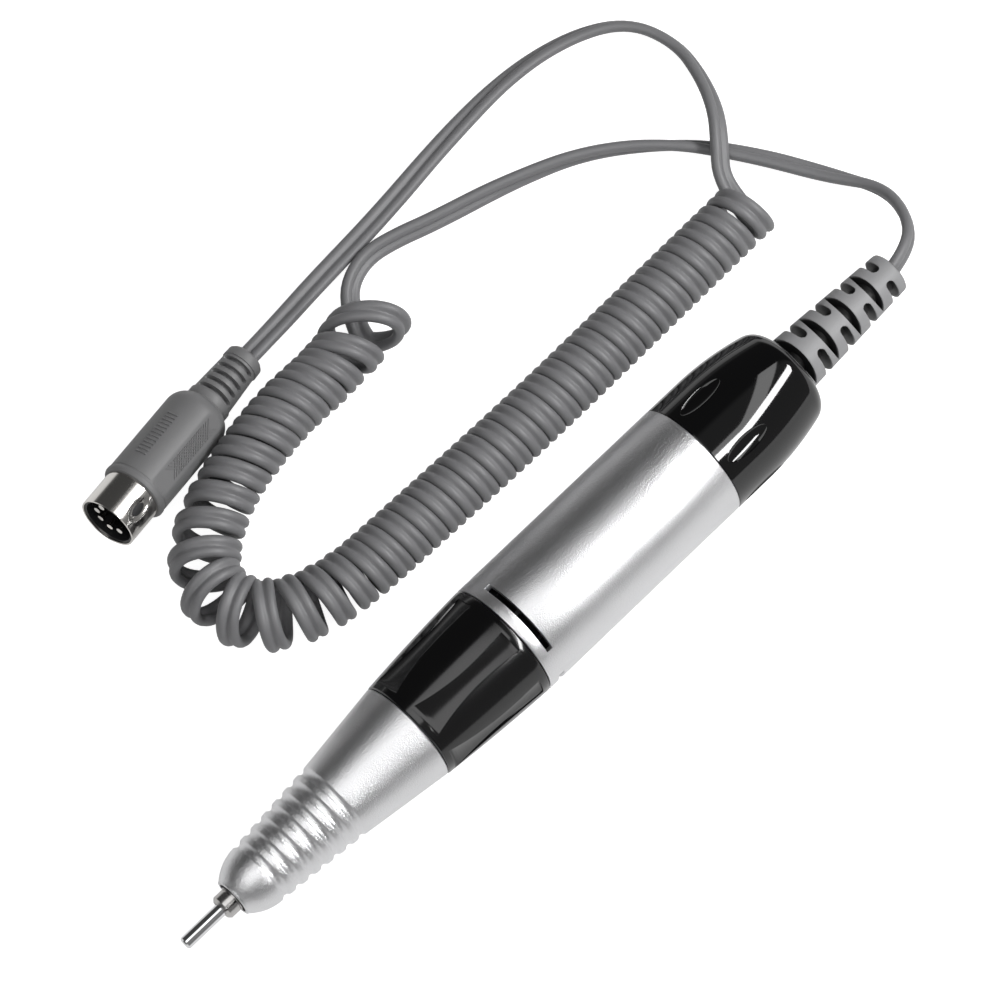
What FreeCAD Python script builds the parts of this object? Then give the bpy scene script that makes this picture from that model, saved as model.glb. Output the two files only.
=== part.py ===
import FreeCAD, Part
import math
import os
import re
import Sketcher

# Twist-lock manicure handpiece with its test pin, coiled cord and round five-pin plug.
# Row frame: X runs from the pin (-X) to the cord (+X), Z is up and the handpiece lies on the
# table. The origin is under its middle, at the table. Every turned piece is drawn along its own
# X axis, with X counted from the tip of the pin, and is then moved to that frame.
# All lengths are millimetres.

sizes = {
    # outside lengths, from the pin's tip to the end of the strain relief
    "pinOut": 10.3,
    "colletOut": 3.5,
    "noseLength": 50.5,
    "ringLength": 28.1,
    "barrelLength": 56.6,
    "capLength": 29.2,
    "bootLength": 31.3,
    # outside radii
    "barrelRadius": 14.0,
    "barrelWall": 1.4,
    "noseTipRadius": 4.6,
    "domeRadius": 11.0,
    "domeLength": 6.7,
    "shoulderRadius": 7.38,
    "coneRadius": 9.43,
    "gripLength": 23.3,
    "noseBackRadius": 12.05,
    "ringFrontRadius": 12.12,
    "ringBulge": 480.0,
    "capStraight": 9.0,
    "capTaper": 69.0,
    "capTaperLength": 16.8,
    "capTaperDrop": 2.05,
    "capCorner": 4.3,
    "capFaceRadius": 7.9,
    "capWall": 1.7,
    "capFloor": 5.6,
    "bootFrontRadius": 6.7,
    "bootBackRadius": 4.95,
    # nose grip grooves
    "gripGrooves": 7,
    "firstGroove": 8.3,
    "groovePitch": 3.34,
    "grooveRadius": 1.0,
    "grooveDepth": 0.6,
    # clearances
    "runningGap": 0.04,
    "axialGap": 0.15,
    "edgeBreak": 0.3,
    "cutMargin": 1.0,
    # test pin, collet and draw rod
    "pinRadius": 1.5,
    "shankRadius": 1.175,
    "shankLength": 27.5,
    "flangeLength": 2.9,
    "flangeRadius": 2.85,
    "flangeBreak": 0.6,
    "colletRadius": 2.25,
    "colletLength": 31.0,
    "colletSeatRadius": 2.6,
    "colletSeatLength": 3.0,
    "slitWidth": 0.45,
    "slitLength": 18.0,
    "colletJaws": 3,
    "colletTurn": 31.0,
    "threadRadius": 1.5,
    "threadLength": 3.0,
    "drawRodRadius": 2.2,
    "closedGap": 0.3,
    # spindle and its bearings
    "mouthRadius": 3.75,
    "mouthLip": 2.6,
    "sealRadius": 4.7,
    "sealLength": 1.9,
    "sealPocket": 2.5,
    "sealGap": 0.1,
    "spindleNoseRadius": 3.1,
    "spindleRadius": 3.0,
    "spindleBoreGap": 0.05,
    "frontRaceRadius": 6.0,
    "frontRaceWidth": 4.0,
    "frontBallRadius": 0.8,
    "rearRaceRadius": 6.5,
    "rearRaceWidth": 5.0,
    "rearBallRadius": 0.9,
    "ballCount": 7,
    "ballGap": 0.06,
    "raceShoulder": 0.85,
    "cageWidth": 0.5,
    "rearRaceInset": 12.5,
    "spacerWall": 1.2,
    "retainerRadius": 8.0,
    "retainerLength": 1.95,
    "retainerBore": 5.8,
    # collet spring and release parts
    "seatRadius": 5.4,
    "seatLength": 1.0,
    "springWire": 0.55,
    "springRadius": 4.3,
    "springLength": 6.8,
    "springTurns": 4,
    "springClear": 0.05,
    "collarRadius": 7.0,
    "collarLength": 8.0,
    "crossPinRadius": 1.0,
    "colletTravel": 1.3,
    "releaseTravel": 1.6,
    "twistAngle": 60.0,
    "pushGap": 0.35,
    "sliderRadius": 8.46,
    "sliderLip": 1.5,
    "sliderLength": 7.65,
    "sliderBore": 6.9,
    "sliderEyeGap": 1.5,
    "camPinRadius": 1.2,
    "camPinInset": 4.4,
    "camSlotGap": 0.12,
    "camSteps": 20,
    # housing tube, cam sleeve
    "housingRadius": 10.0,
    "housingWall": 1.5,
    "housingInset": 4.8,
    "housingFlange": 2.0,
    "camSleeveRadius": 11.5,
    "camSleeveInset": 7.2,
    # couplings and fan
    "hubRadius": 6.0,
    "drivenHub": 3.2,
    "dogLength": 4.0,
    "dogAngle": 80.0,
    "dogGap": 0.3,
    "driveHub": 7.0,
    "fanLength": 3.1,
    "fanPlate": 0.8,
    "fanRadius": 10.5,
    "fanHubRadius": 3.5,
    "fanBlades": 9,
    # motor
    "motorShaftRadius": 1.0,
    "mountThickness": 1.7,
    "screwHeadRadius": 2.2,
    "screwHeadLength": 1.3,
    "screwRadius": 1.25,
    "screwDrive": 0.6,
    "ventRadius": 1.85,
    "screwPitchRadius": 8.0,
    "canRadius": 12.2,
    "motorRoom": 25.6,
    "canWall": 1.0,
    "bushRadius": 3.0,
    "bushLength": 3.0,
    "bushHub": 1.5,
    "magnetWall": 1.8,
    "magnetInset": 4.5,
    "magnetAngle": 130.0,
    "armatureRadius": 8.9,
    "armatureInset": 6.5,
    "rotorShift": 0.5,
    "shaftTail": 1.6,
    "armatureSlots": 5,
    "coreSlotWidth": 2.4,
    "coreSlotFloor": 4.2,
    "windingGap": 0.1,
    "windingEdge": 1.2,
    "windingRound": 1.9,
    "windingLength": 3.2,
    "windingRadius": 7.8,
    "commutatorRadius": 3.0,
    "commutatorLength": 5.0,
    "commutatorGap": 0.35,
    "commutatorGapDepth": 0.7,
    "bellLength": 5.5,
    "bellFloor": 1.8,
    "bellSpigot": 2.6,
    "bellWall": 0.9,
    "brushWidth": 3.0,
    "brushHeight": 2.5,
    "brushLength": 4.4,
    "brushGap": 0.05,
    "holderWall": 0.3,
    "holderInset": 1.2,
    "brushSpringWire": 0.18,
    "brushSpringRadius": 0.8,
    "brushSpringTurns": 4,
    "brushSpringClear": 0.02,
    "terminalRadius": 8.0,
    "terminalWidth": 2.8,
    "terminalThickness": 0.5,
    "terminalLength": 5.2,
    "capacitorRadius": 3.2,
    "capacitorLength": 2.0,
    "capacitorInset": 3.0,
    "legRadius": 0.25,
    "wireRadius": 0.8,
    "wireSpread": 1.2,
    "wireStraight": 9.0,
    "wireRunIn": 6.0,
    # barrel and cap details
    "coolingSlots": 3,
    "coolingSlotAngle": 84.0,
    "coolingSlotWidth": 1.5,
    "coolingSlotInset": 3.3,
    "coolingSlotTurn": 5.5,
    "ringRecesses": 6,
    "ringRecessTurn": 17.0,
    "ringRecessInset": 2.0,
    "ringRecessOffset": 27.0,
    "ringRecessFront": 15.7,
    "ringRecessBack": 13.4,
    "capDimples": 6,
    "capDimpleInset": 7.6,
    "capDimpleHalfLength": 5.75,
    "capDimpleHalfWidth": 2.1,
    "capDimpleDepth": 0.8,
    "capDimpleTurn": 35.0,
    "capSpigot": 5.5,
    "spigotWall": 1.4,
    "capInnerStep": 4.0,
    "capInnerTaper": 6.0,
    "capRelief": 0.6,
    # strain relief
    "bootSlots": 4,
    "bootSlotPitch": 7.3,
    "bootSlotWidth": 1.9,
    "bootCore": 3.5,
    "bootSlotSpan": 7.4,
    "bootSlotTurn": 8.0,
    "bootFirstTop": 1.5,
    "bootFirstSide": 5.8,
    "bootNeckRadius": 5.2,
    "bootFlangeRadius": 7.0,
    "bootFlange": 1.6,
    "clampRadius": 5.0,
    "clampLength": 5.0,
    # cord, coil and plug
    "cordRadius": 2.45,
    "coilRadius": 7.15,
    "mouldRadius": 7.5,
    "mouldLength": 26.0,
    "mouldEdge": 0.8,
    "mouldTailEdge": 3.6,
    "mouldTailRound": 4.0,
    "plugBootFront": 4.9,
    "plugBootBack": 4.0,
    "plugBootLength": 15.0,
    "plugBootRing": 2.0,
    "plugSlots": 5,
    "plugSlotPitch": 2.3,
    "plugSlotWidth": 1.1,
    "plugBootNeck": 3.1,
    "shellRadius": 6.6,
    "shellWall": 0.4,
    "shellStep": 0.2,
    "shellOut": 9.0,
    "shellInset": 6.0,
    "windowFront": 3.4,
    "windowLength": 2.2,
    "windowWidth": 1.5,
    "linerWall": 0.5,
    "linerInset": 0.5,
    "plugRecess": 7.0,
    "contactRadius": 0.73,
    "contactCircle": 3.5,
    "contactInset": 1.2,
    "contactCount": 5,
    "contactStep": 45.0,
    "keyAngle": 45.0,
    "plugYaw": 10.0,
    "plugPitch": 10.0,
    "plugX": -53.0,
    "plugY": 77.4,
    "plugZ": 13.25,
}

# Stations along the handpiece, each worked out from the sizes above.
places = {
    "mouth": "pinOut + colletOut",
    "noseBack": "mouth + noseLength",
    "barrelFront": "noseBack + ringLength",
    "capFront": "barrelFront + barrelLength",
    "capBack": "capFront + capLength",
    "overall": "capBack + bootLength",
    "domeBack": "mouth + domeLength",
    "coneFront": "domeBack + gripLength",
    "flangeBack": "pinOut + flangeLength",
    "spindleFront": "flangeBack + closedGap",
    "colletBack": "pinOut + colletLength",
    "sealFront": "mouth + mouthLip",
    "frontRace": "sealFront + sealPocket",
    "spacerFront": "frontRace + 2 * frontRaceWidth + axialGap",
    "rearRace": "noseBack - rearRaceInset",
    "retainerFront": "rearRace + rearRaceWidth + axialGap",
    "housingFront": "noseBack - housingInset",
    "seatFront": "retainerFront + retainerLength + axialGap",
    "springFront": "seatFront + seatLength",
    "collarFront": "springFront + springLength",
    "collarBack": "collarFront + collarLength",
    "crossPinAt": "collarFront + collarLength / 2",
    "sliderFront": "collarBack + pushGap",
    "camPinAt": "sliderFront + camPinInset",
    "drivenFront": "sliderFront + sliderLip + pushGap",
    "spindleBack": "drivenFront + drivenHub",
    "dogFront": "spindleBack + dogGap",
    "driveFront": "dogFront + dogLength",
    "fanFront": "barrelFront + housingFlange + closedGap",
    "fanBack": "fanFront + fanLength",
    "mountFront": "fanBack + closedGap + screwHeadLength",
    "canFront": "mountFront + mountThickness",
    "canLength": "barrelLength - motorRoom",
    "canBack": "canFront + canLength",
    "bellBack": "canBack + bellLength",
    "bellFloorFront": "bellBack - bellFloor",
    "magnetLength": "canLength - 2 * magnetInset",
    "armatureLength": "canLength - 2 * armatureInset",
    "armatureFront": "canFront + armatureInset - rotorShift",
    "armatureBack": "armatureFront + armatureLength",
    "commutatorFront": "armatureBack + windingLength + closedGap",
    "commutatorBack": "commutatorFront + commutatorLength",
    "terminalBack": "bellBack + terminalLength",
    "bootFlangeFront": "capBack - capFloor - bootFlange",
    "clampFront": "bootFlangeFront - axialGap - clampLength",
    "barrelBore": "barrelRadius - barrelWall",
    "capBore": "barrelRadius - capWall",
    "magnetRadius": "canRadius - canWall",
    "plugLength": "shellOut + mouldLength + plugBootLength",
}

doc = FreeCAD.newDocument("nail_drill_handpiece")
dims = doc.addObject("Spreadsheet::Sheet", "dims")
for row, (alias, size) in enumerate(sizes.items(), 1):
    dims.set(f"A{row}", alias)
    dims.set(f"B{row}", str(size))
    dims.setAlias(f"B{row}", alias)
doc.recompute()

XAXIS = FreeCAD.Vector(1, 0, 0)
YAXIS = FreeCAD.Vector(0, 1, 0)
ZAXIS = FreeCAD.Vector(0, 0, 1)
subParts = []


# The words of a formula become cells of the sheet, and a station becomes its own formula.
def formula(text):
    def swap(match):
        word = match.group(0)
        if word in sizes:
            return "dims." + word
        if word in places:
            return "(" + formula(places[word]) + ")"
        return word
    return re.sub(r"[A-Za-z]\w*", swap, str(text))


def value(text):
    return float(dims.evalExpression(formula(text)))


def bind(thing, prop, text):
    setattr(thing, prop, value(text))
    thing.setExpression(prop, formula(text))


# A point that is turned about the X axis: angle 0 is +Z, and 90 is -Y, towards the front.
def aside(radius, angle):
    return f"-({radius}) * sin({angle})", f"({radius}) * cos({angle})"


def lay(thing, at, rotation=FreeCAD.Rotation()):
    base = FreeCAD.Vector(*[value(place) for place in at])
    thing.Placement = FreeCAD.Placement(base, rotation)
    for axis, place in zip("xyz", at):
        thing.setExpression("Placement.Base." + axis, formula(place))
    return thing


# Arc of the given radius from one corner to the next. A positive radius turns clockwise.
def arcBetween(start, end, radius):
    a = FreeCAD.Vector(*start, 0)
    b = FreeCAD.Vector(*end, 0)
    chord = b - a
    left = FreeCAD.Vector(-chord.y, chord.x, 0).normalize()
    rise = math.sqrt(max(radius ** 2 - (chord.Length / 2) ** 2, 0))
    centre = (a + b) * 0.5 - left * math.copysign(rise, radius)
    first, last = (b, a) if radius > 0 else (a, b)
    angles = [math.atan2(p.y - centre.y, p.x - centre.x) for p in (first, last)]
    if angles[1] < angles[0]:
        angles[1] += 2 * math.pi
    circle = Part.Circle(centre, ZAXIS, abs(radius))
    return Part.ArcOfCircle(circle, angles[0], angles[1])


# A closed outline of corners (x, radius) or (x, radius, arc radius of the side that ends there).
def drawOutline(sketch, outline):
    corners = [(value(corner[0]), value(corner[1])) for corner in outline]
    count = len(outline)
    ends = []
    for i in range(count):
        after = (i + 1) % count
        if len(outline[after]) == 3:
            radius = value(outline[after][2])
            edge = arcBetween(corners[i], corners[after], radius)
            ends.append((2, 1) if radius > 0 else (1, 2))
        else:
            edge = Part.LineSegment(FreeCAD.Vector(*corners[i], 0), FreeCAD.Vector(*corners[after], 0))
            ends.append((1, 2))
        sketch.addGeometry(edge, False)
    for i in range(count):
        before = (i - 1) % count
        sketch.addConstraint(Sketcher.Constraint("Coincident", before, ends[before][1], i, ends[i][0]))
        mark = sketch.addConstraint(
            Sketcher.Constraint("DistanceX", -1, 1, i, ends[i][0], corners[i][0]))
        sketch.setExpression(f"Constraints[{mark}]", formula(outline[i][0]))
        if outline[i][1] == "0":
            sketch.addConstraint(Sketcher.Constraint("PointOnObject", i, ends[i][0], -1))
        else:
            mark = sketch.addConstraint(
                Sketcher.Constraint("DistanceY", -1, 1, i, ends[i][0], corners[i][1]))
            sketch.setExpression(f"Constraints[{mark}]", formula(outline[i][1]))
        after = (i + 1) % count
        if len(outline[after]) == 3:
            text = outline[after][2]
            mark = sketch.addConstraint(Sketcher.Constraint("Radius", i, abs(value(text))))
            sketch.setExpression(f"Constraints[{mark}]", f"abs({formula(text)})")


def turned(name, outline):
    body = doc.addObject("PartDesign::Body", name)
    sketch = body.newObject("Sketcher::SketchObject", name + "_outline")
    plane = [item for item in body.Origin.OriginFeatures if item.Role == "XZ_Plane"][0]
    sketch.AttachmentSupport = [(plane, "")]
    sketch.MapMode = "FlatFace"
    drawOutline(sketch, outline)
    turn = body.newObject("PartDesign::Revolution", name + "_turn")
    turn.Profile = sketch
    turn.ReferenceAxis = (sketch, ["H_Axis"])
    turn.Angle = 360
    return body


# A plain tube from one station to another. A bore of "0" makes it solid.
def tube(name, front, back, radius, bore="0"):
    return turned(name, [(front, bore), (front, radius), (back, radius), (back, bore)])


def rod(name, radius, length, at, direction=XAXIS):
    cylinder = doc.addObject("Part::Cylinder", name)
    bind(cylinder, "Radius", radius)
    bind(cylinder, "Height", length)
    return lay(cylinder, at, FreeCAD.Rotation(ZAXIS, direction))


def block(name, length, width, height, at, angle="0"):
    box = doc.addObject("Part::Box", name)
    bind(box, "Length", length)
    bind(box, "Width", width)
    bind(box, "Height", height)
    return lay(box, at, FreeCAD.Rotation(XAXIS, value(angle)))


# A box that stands out from the axis at an angle, centred on it sideways.
def fin(name, front, length, width, low, high, angle):
    side = f"({width}) / 2"
    y = f"-({side}) * cos({angle}) - ({low}) * sin({angle})"
    z = f"-({side}) * sin({angle}) + ({low}) * cos({angle})"
    return block(name, length, width, f"({high}) - ({low})", (front, y, z), angle)


# A slice of a disc across the axis, centred on an angle.
def slice(name, front, length, radius, spread, angle):
    wedge = doc.addObject("Part::Cylinder", name)
    bind(wedge, "Radius", radius)
    bind(wedge, "Height", length)
    bind(wedge, "Angle", spread)
    upright = FreeCAD.Rotation(ZAXIS, XAXIS)
    start = FreeCAD.Rotation(XAXIS, angle + 180 - value(spread) / 2)
    return lay(wedge, (front, 0, 0), start.multiply(upright))


def boolean(kind, name, first, second):
    result = doc.addObject("Part::" + kind, name)
    result.Base = first
    result.Tool = second
    return result


def cut(name, first, second):
    return boolean("Cut", name, first, second)


def joined(name, shapes):
    fusion = doc.addObject("Part::MultiFuse", name)
    fusion.Shapes = shapes
    return fusion


def group(name, shapes):
    compound = doc.addObject("Part::Compound", name)
    compound.Links = shapes
    return compound


# A finished piece of the handpiece, moved from its own axis to the row frame.
def finish(piece):
    lay(piece, ("-(overall) / 2", "0", "barrelRadius"))
    subParts.append(piece)
    return piece


def finishPlug(piece):
    lean = FreeCAD.Rotation(YAXIS, value("plugPitch"))
    swing = FreeCAD.Rotation(ZAXIS, value("plugYaw"))
    lay(piece, ("plugX", "plugY", "plugZ"), swing.multiply(lean))
    subParts.append(piece)
    return piece


# Nose shell: domed tip, cone with grip grooves, stepped bore for seal, bearings and housing.
def makeNose():
    bearingBore = "frontRaceRadius"
    spacerBore = "frontRaceRadius + 2 * runningGap"
    blank = turned("nose_blank", [
        ("mouth", "mouthRadius"),
        ("mouth", "noseTipRadius - edgeBreak"),
        ("mouth + edgeBreak", "noseTipRadius"),
        ("domeBack", "shoulderRadius", "domeRadius"),
        ("coneFront", "coneRadius"),
        ("noseBack", "noseBackRadius"),
        ("noseBack", "housingRadius"),
        ("housingFront", "housingRadius"),
        ("housingFront", "retainerRadius"),
        ("rearRace + rearRaceWidth", "retainerRadius"),
        ("rearRace + rearRaceWidth", "rearRaceRadius"),
        ("rearRace", "rearRaceRadius"),
        ("rearRace", spacerBore),
        ("spacerFront", spacerBore),
        ("spacerFront", bearingBore),
        ("frontRace", bearingBore),
        ("frontRace", "sealRadius"),
        ("sealFront", "sealRadius"),
        ("sealFront", "mouthRadius"),
    ])
    grooves = []
    slope = "(coneRadius - shoulderRadius) / gripLength"
    for i in range(int(value("gripGrooves"))):
        groove = doc.addObject("Part::Torus", f"grip_groove_{i}")
        station = f"mouth + firstGroove + {i} * groovePitch"
        surface = f"shoulderRadius + (firstGroove + {i} * groovePitch - domeLength) * {slope}"
        bind(groove, "Radius1", f"{surface} - grooveDepth + grooveRadius")
        bind(groove, "Radius2", "grooveRadius")
        grooves.append(lay(groove, (station, 0, 0), FreeCAD.Rotation(ZAXIS, XAXIS)))
    finish(cut("nose_cone", blank, joined("grip_grooves", grooves)))


# Test pin: thick free end, thin shank held in the collet.
def makePin():
    finish(turned("chuck_pin", [
        ("0", "0"),
        ("0", "pinRadius - edgeBreak"),
        ("edgeBreak", "pinRadius"),
        ("pinOut", "pinRadius"),
        ("pinOut", "shankRadius"),
        ("pinOut + shankLength", "shankRadius"),
        ("pinOut + shankLength", "0"),
    ]))


# Three-jaw collet: flange outside the spindle, tapered seat, thread for the draw rod.
def makeCollet():
    front = "pinOut + axialGap / 2"
    blank = turned("collet_blank", [
        (front, "shankRadius + runningGap"),
        (front, "flangeRadius - flangeBreak"),
        (f"{front} + flangeBreak", "flangeRadius"),
        ("flangeBack", "flangeRadius"),
        ("flangeBack", "colletSeatRadius"),
        ("spindleFront", "colletSeatRadius"),
        ("spindleFront + colletSeatLength", "colletRadius"),
        ("colletBack", "colletRadius"),
        ("colletBack", "threadRadius"),
        ("colletBack - threadLength", "threadRadius"),
        ("colletBack - threadLength", "shankRadius + runningGap"),
    ])
    slits = []
    jaws = int(value("colletJaws"))
    for i in range(jaws):
        slits.append(fin(f"collet_slit_{i}", "pinOut", "slitLength", "slitWidth", "0",
                         "flangeRadius + edgeBreak", f"colletTurn + {i * 360 / jaws}"))
    finish(cut("collet", blank, joined("collet_slits", slits)))
    rodBlank = turned("draw_rod_blank", [
        ("colletBack - threadLength", "0"),
        ("colletBack - threadLength", "threadRadius"),
        ("colletBack", "threadRadius"),
        ("colletBack", "drawRodRadius"),
        ("collarBack", "drawRodRadius"),
        ("collarBack", "0"),
    ])
    finish(cut("draw_rod", rodBlank, crossPin("draw_rod_hole")))


def crossPin(name):
    return rod(name, "crossPinRadius", "2 * collarRadius - 2 * edgeBreak",
               ("crossPinAt", "collarRadius - edgeBreak", 0), FreeCAD.Vector(0, -1, 0))


# Hollow spindle: cone seat for the collet, cross slots for the pin that pulls the draw rod.
def makeSpindle():
    bore = "colletRadius + spindleBoreGap"
    blank = turned("spindle_blank", [
        ("spindleFront", "colletSeatRadius + spindleBoreGap"),
        ("spindleFront", "spindleNoseRadius"),
        ("frontRace - closedGap", "spindleNoseRadius"),
        ("frontRace - closedGap", "spindleRadius"),
        ("spindleBack", "spindleRadius"),
        ("spindleBack", "0"),
        ("drivenFront", "0"),
        ("drivenFront", bore),
        ("spindleFront + colletSeatLength", bore),
    ])
    room = "crossPinRadius + runningGap"
    slot = fin("spindle_slot", f"crossPinAt - colletTravel - ({room}) - axialGap",
               f"colletTravel + 2 * ({room}) + 2 * axialGap", f"2 * ({room})",
               "-spindleRadius - edgeBreak", "spindleRadius + edgeBreak", 90)
    finish(cut("spindle_shaft", blank, slot))


# One ball race pair: rings with a ball track, balls and a cage beside them.
def makeBearing(prefix, fronts, outer, width, ball, phase):
    pitch = f"(({outer}) + spindleRadius) / 2"
    track = f"{ball} + ballGap"
    outers = []
    inners = []
    balls = []
    cages = []
    for k, front in enumerate(fronts):
        middle = f"{front} + ({width}) / 2"
        innerRim = f"{pitch} - raceShoulder * {ball}"
        outerRim = f"{pitch} + raceShoulder * {ball}"
        innerHalf = f"sqrt(({track})^2 - ({pitch} - ({innerRim}))^2)"
        outerHalf = f"sqrt(({track})^2 - (({outerRim}) - {pitch})^2)"
        outers.append(turned(f"{prefix}_outer_{k}", [
            (front, outerRim),
            (front, outer),
            (f"{front} + {width}", outer),
            (f"{front} + {width}", outerRim),
            (f"{middle} + {outerHalf}", outerRim),
            (f"{middle} - {outerHalf}", outerRim, f"-({track})"),
        ]))
        inners.append(turned(f"{prefix}_inner_{k}", [
            (front, "spindleRadius"),
            (front, innerRim),
            (f"{middle} - {innerHalf}", innerRim),
            (f"{middle} + {innerHalf}", innerRim, f"-({track})"),
            (f"{front} + {width}", innerRim),
            (f"{front} + {width}", "spindleRadius"),
        ]))
        count = int(value("ballCount"))
        for i in range(count):
            sphere = doc.addObject("Part::Sphere", f"{prefix}_ball_{k}_{i}")
            bind(sphere, "Radius", ball)
            angle = i * 360 / count + k * phase
            balls.append(lay(sphere, (middle, *aside(pitch, angle))))
        cages.append(tube(f"{prefix}_cage_{k}", f"{middle} + {ball} + ballGap",
                          f"{middle} + {ball} + ballGap + cageWidth",
                          f"{pitch} + {ball} / 2", f"{pitch} - {ball} / 2"))
    finish(group(f"{prefix}_outer_races", outers))
    finish(group(f"{prefix}_inner_races", inners))
    finish(group(f"{prefix}_balls", balls))
    finish(group(f"{prefix}_cages", cages))


def makeNoseFittings():
    makeBearing("front_bearing", ["frontRace", "frontRace + frontRaceWidth"],
                "frontRaceRadius", "frontRaceWidth", "frontBallRadius", 26)
    makeBearing("rear_bearing", ["rearRace"], "rearRaceRadius", "rearRaceWidth",
                "rearBallRadius", 0)
    finish(tube("dust_seal", "sealFront + axialGap", "sealFront + axialGap + sealLength",
                "sealRadius", "spindleNoseRadius + sealGap"))
    finish(tube("bearing_spacer", "spacerFront", "rearRace - axialGap",
                "frontRaceRadius + runningGap", "frontRaceRadius + runningGap - spacerWall"))
    finish(tube("bearing_retainer", "retainerFront", "retainerFront + retainerLength",
                "retainerRadius", "retainerBore"))


# Housing tube: screws into the nose, carries the twist ring and closes the barrel's front.
def makeHousing():
    bore = "housingRadius - housingWall"
    blank = turned("housing_blank", [
        ("housingFront", bore),
        ("housingFront", "housingRadius"),
        ("barrelFront", "housingRadius"),
        ("barrelFront", "barrelBore"),
        ("barrelFront + housingFlange", "barrelBore"),
        ("barrelFront + housingFlange", bore),
    ])
    slots = []
    room = "camPinRadius + camSlotGap"
    for i in range(3):
        slots.append(fin(f"housing_slot_{i}", f"camPinAt - releaseTravel - ({room})",
                         f"releaseTravel + 2 * ({room})", f"2 * ({room})",
                         f"{bore} - cutMargin", "housingRadius + cutMargin", i * 120))
    finish(cut("housing_tube", blank, joined("housing_slots", slots)))


# Twist ring and the cam sleeve pressed into it. The sleeve's three slots rise along the axis
# as it turns, so they push the release slider forward.
def makeTwistRing():
    front = "noseBack + axialGap"
    back = "barrelFront - axialGap"
    rimRun = "housingRadius + runningGap"
    seatFront = "noseBack + camSleeveInset"
    blank = turned("twist_ring_blank", [
        (front, rimRun),
        (front, "ringFrontRadius - edgeBreak"),
        (f"{front} + edgeBreak", "ringFrontRadius"),
        (f"{back} - edgeBreak", "barrelRadius", "ringBulge"),
        (back, "barrelRadius - edgeBreak"),
        (back, "camSleeveRadius"),
        (seatFront, "camSleeveRadius"),
        (seatFront, rimRun),
    ])
    recesses = []
    count = int(value("ringRecesses"))
    for i in range(count):
        recess = doc.addObject("Part::Cone", f"ring_recess_{i}")
        bind(recess, "Radius1", "ringRecessFront")
        bind(recess, "Radius2", "ringRecessBack")
        bind(recess, "Height", "ringLength - 2 * ringRecessInset")
        angle = f"ringRecessTurn + {i * 360 / count}"
        recesses.append(lay(recess, ("noseBack + ringRecessInset", *aside("ringRecessOffset", angle)),
                            FreeCAD.Rotation(ZAXIS, XAXIS)))
    finish(cut("twist_ring", blank, joined("ring_recesses", recesses)))

    sleeve = tube("cam_sleeve_blank", seatFront, back, "camSleeveRadius", rimRun)
    cutters = []
    steps = int(value("camSteps"))
    for i in range(3):
        for step in range(steps + 1):
            share = f"{step} / {steps}"
            angle = f"{i * 120} - twistAngle * {share}"
            y, z = aside("housingRadius - cutMargin", angle)
            turn = i * 120 - value("twistAngle") * step / steps
            outward = FreeCAD.Vector(0, -math.sin(math.radians(turn)), math.cos(math.radians(turn)))
            cutters.append(rod(f"cam_cut_{i}_{step}", "camPinRadius + camSlotGap",
                               "camSleeveRadius - housingRadius + 2 * cutMargin",
                               (f"camPinAt - releaseTravel * {share}", y, z), outward))
    finish(cut("cam_sleeve", sleeve, joined("cam_slots", cutters)))


# Release slider with its three cam pins.
def makeRelease():
    blank = turned("release_blank", [
        ("sliderFront", "spindleRadius + sliderEyeGap"),
        ("sliderFront", "sliderRadius"),
        ("sliderFront + sliderLength", "sliderRadius"),
        ("sliderFront + sliderLength", "sliderBore"),
        ("sliderFront + sliderLip", "sliderBore"),
        ("sliderFront + sliderLip", "spindleRadius + sliderEyeGap"),
    ])
    pins = []
    holes = []
    for i in range(3):
        angle = i * 120
        outward = FreeCAD.Vector(0, -math.sin(math.radians(angle)), math.cos(math.radians(angle)))
        y, z = aside("sliderBore + edgeBreak", angle)
        length = "camSleeveRadius - edgeBreak - sliderBore - edgeBreak"
        pins.append(rod(f"cam_pin_{i}", "camPinRadius", length, ("camPinAt", y, z), outward))
        holes.append(rod(f"cam_pin_hole_{i}", "camPinRadius", length, ("camPinAt", y, z), outward))
    finish(cut("release_slider", blank, joined("cam_pin_holes", holes)))
    finish(group("cam_pins", pins))


# Collar that the slider pushes, its cross pin, and the spring that closes the collet.
def makeCollar():
    ring = tube("collar_blank", "collarFront", "collarBack", "collarRadius",
                "spindleRadius + runningGap")
    finish(cut("thrust_collar", ring, crossPin("collar_hole")))
    finish(group("cross_pin", [crossPin("cross_pin_rod")]))
    finish(tube("spring_seat", "seatFront", "springFront", "seatRadius", "spindleRadius"))
    wire = value("springWire")
    reach = value("springLength") - 2 * wire - 2 * value("springClear")
    helix = Part.makeHelix(reach / value("springTurns"), reach, value("springRadius"))
    start = FreeCAD.Vector(value("springRadius"), 0, 0)
    section = Part.Wire(Part.Edge(Part.Circle(start, YAXIS, wire)))
    coil = Part.Wire(helix.Edges).makePipeShell([section], True, True)
    spring = doc.addObject("Part::Feature", "collet_spring")
    spring.Shape = Part.Solid(coil)
    at = FreeCAD.Vector(value("springFront - overall / 2 + springClear") + wire, 0,
                        value("barrelRadius"))
    spring.Placement = FreeCAD.Placement(at, FreeCAD.Rotation(ZAXIS, XAXIS))
    subParts.append(spring)


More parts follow.
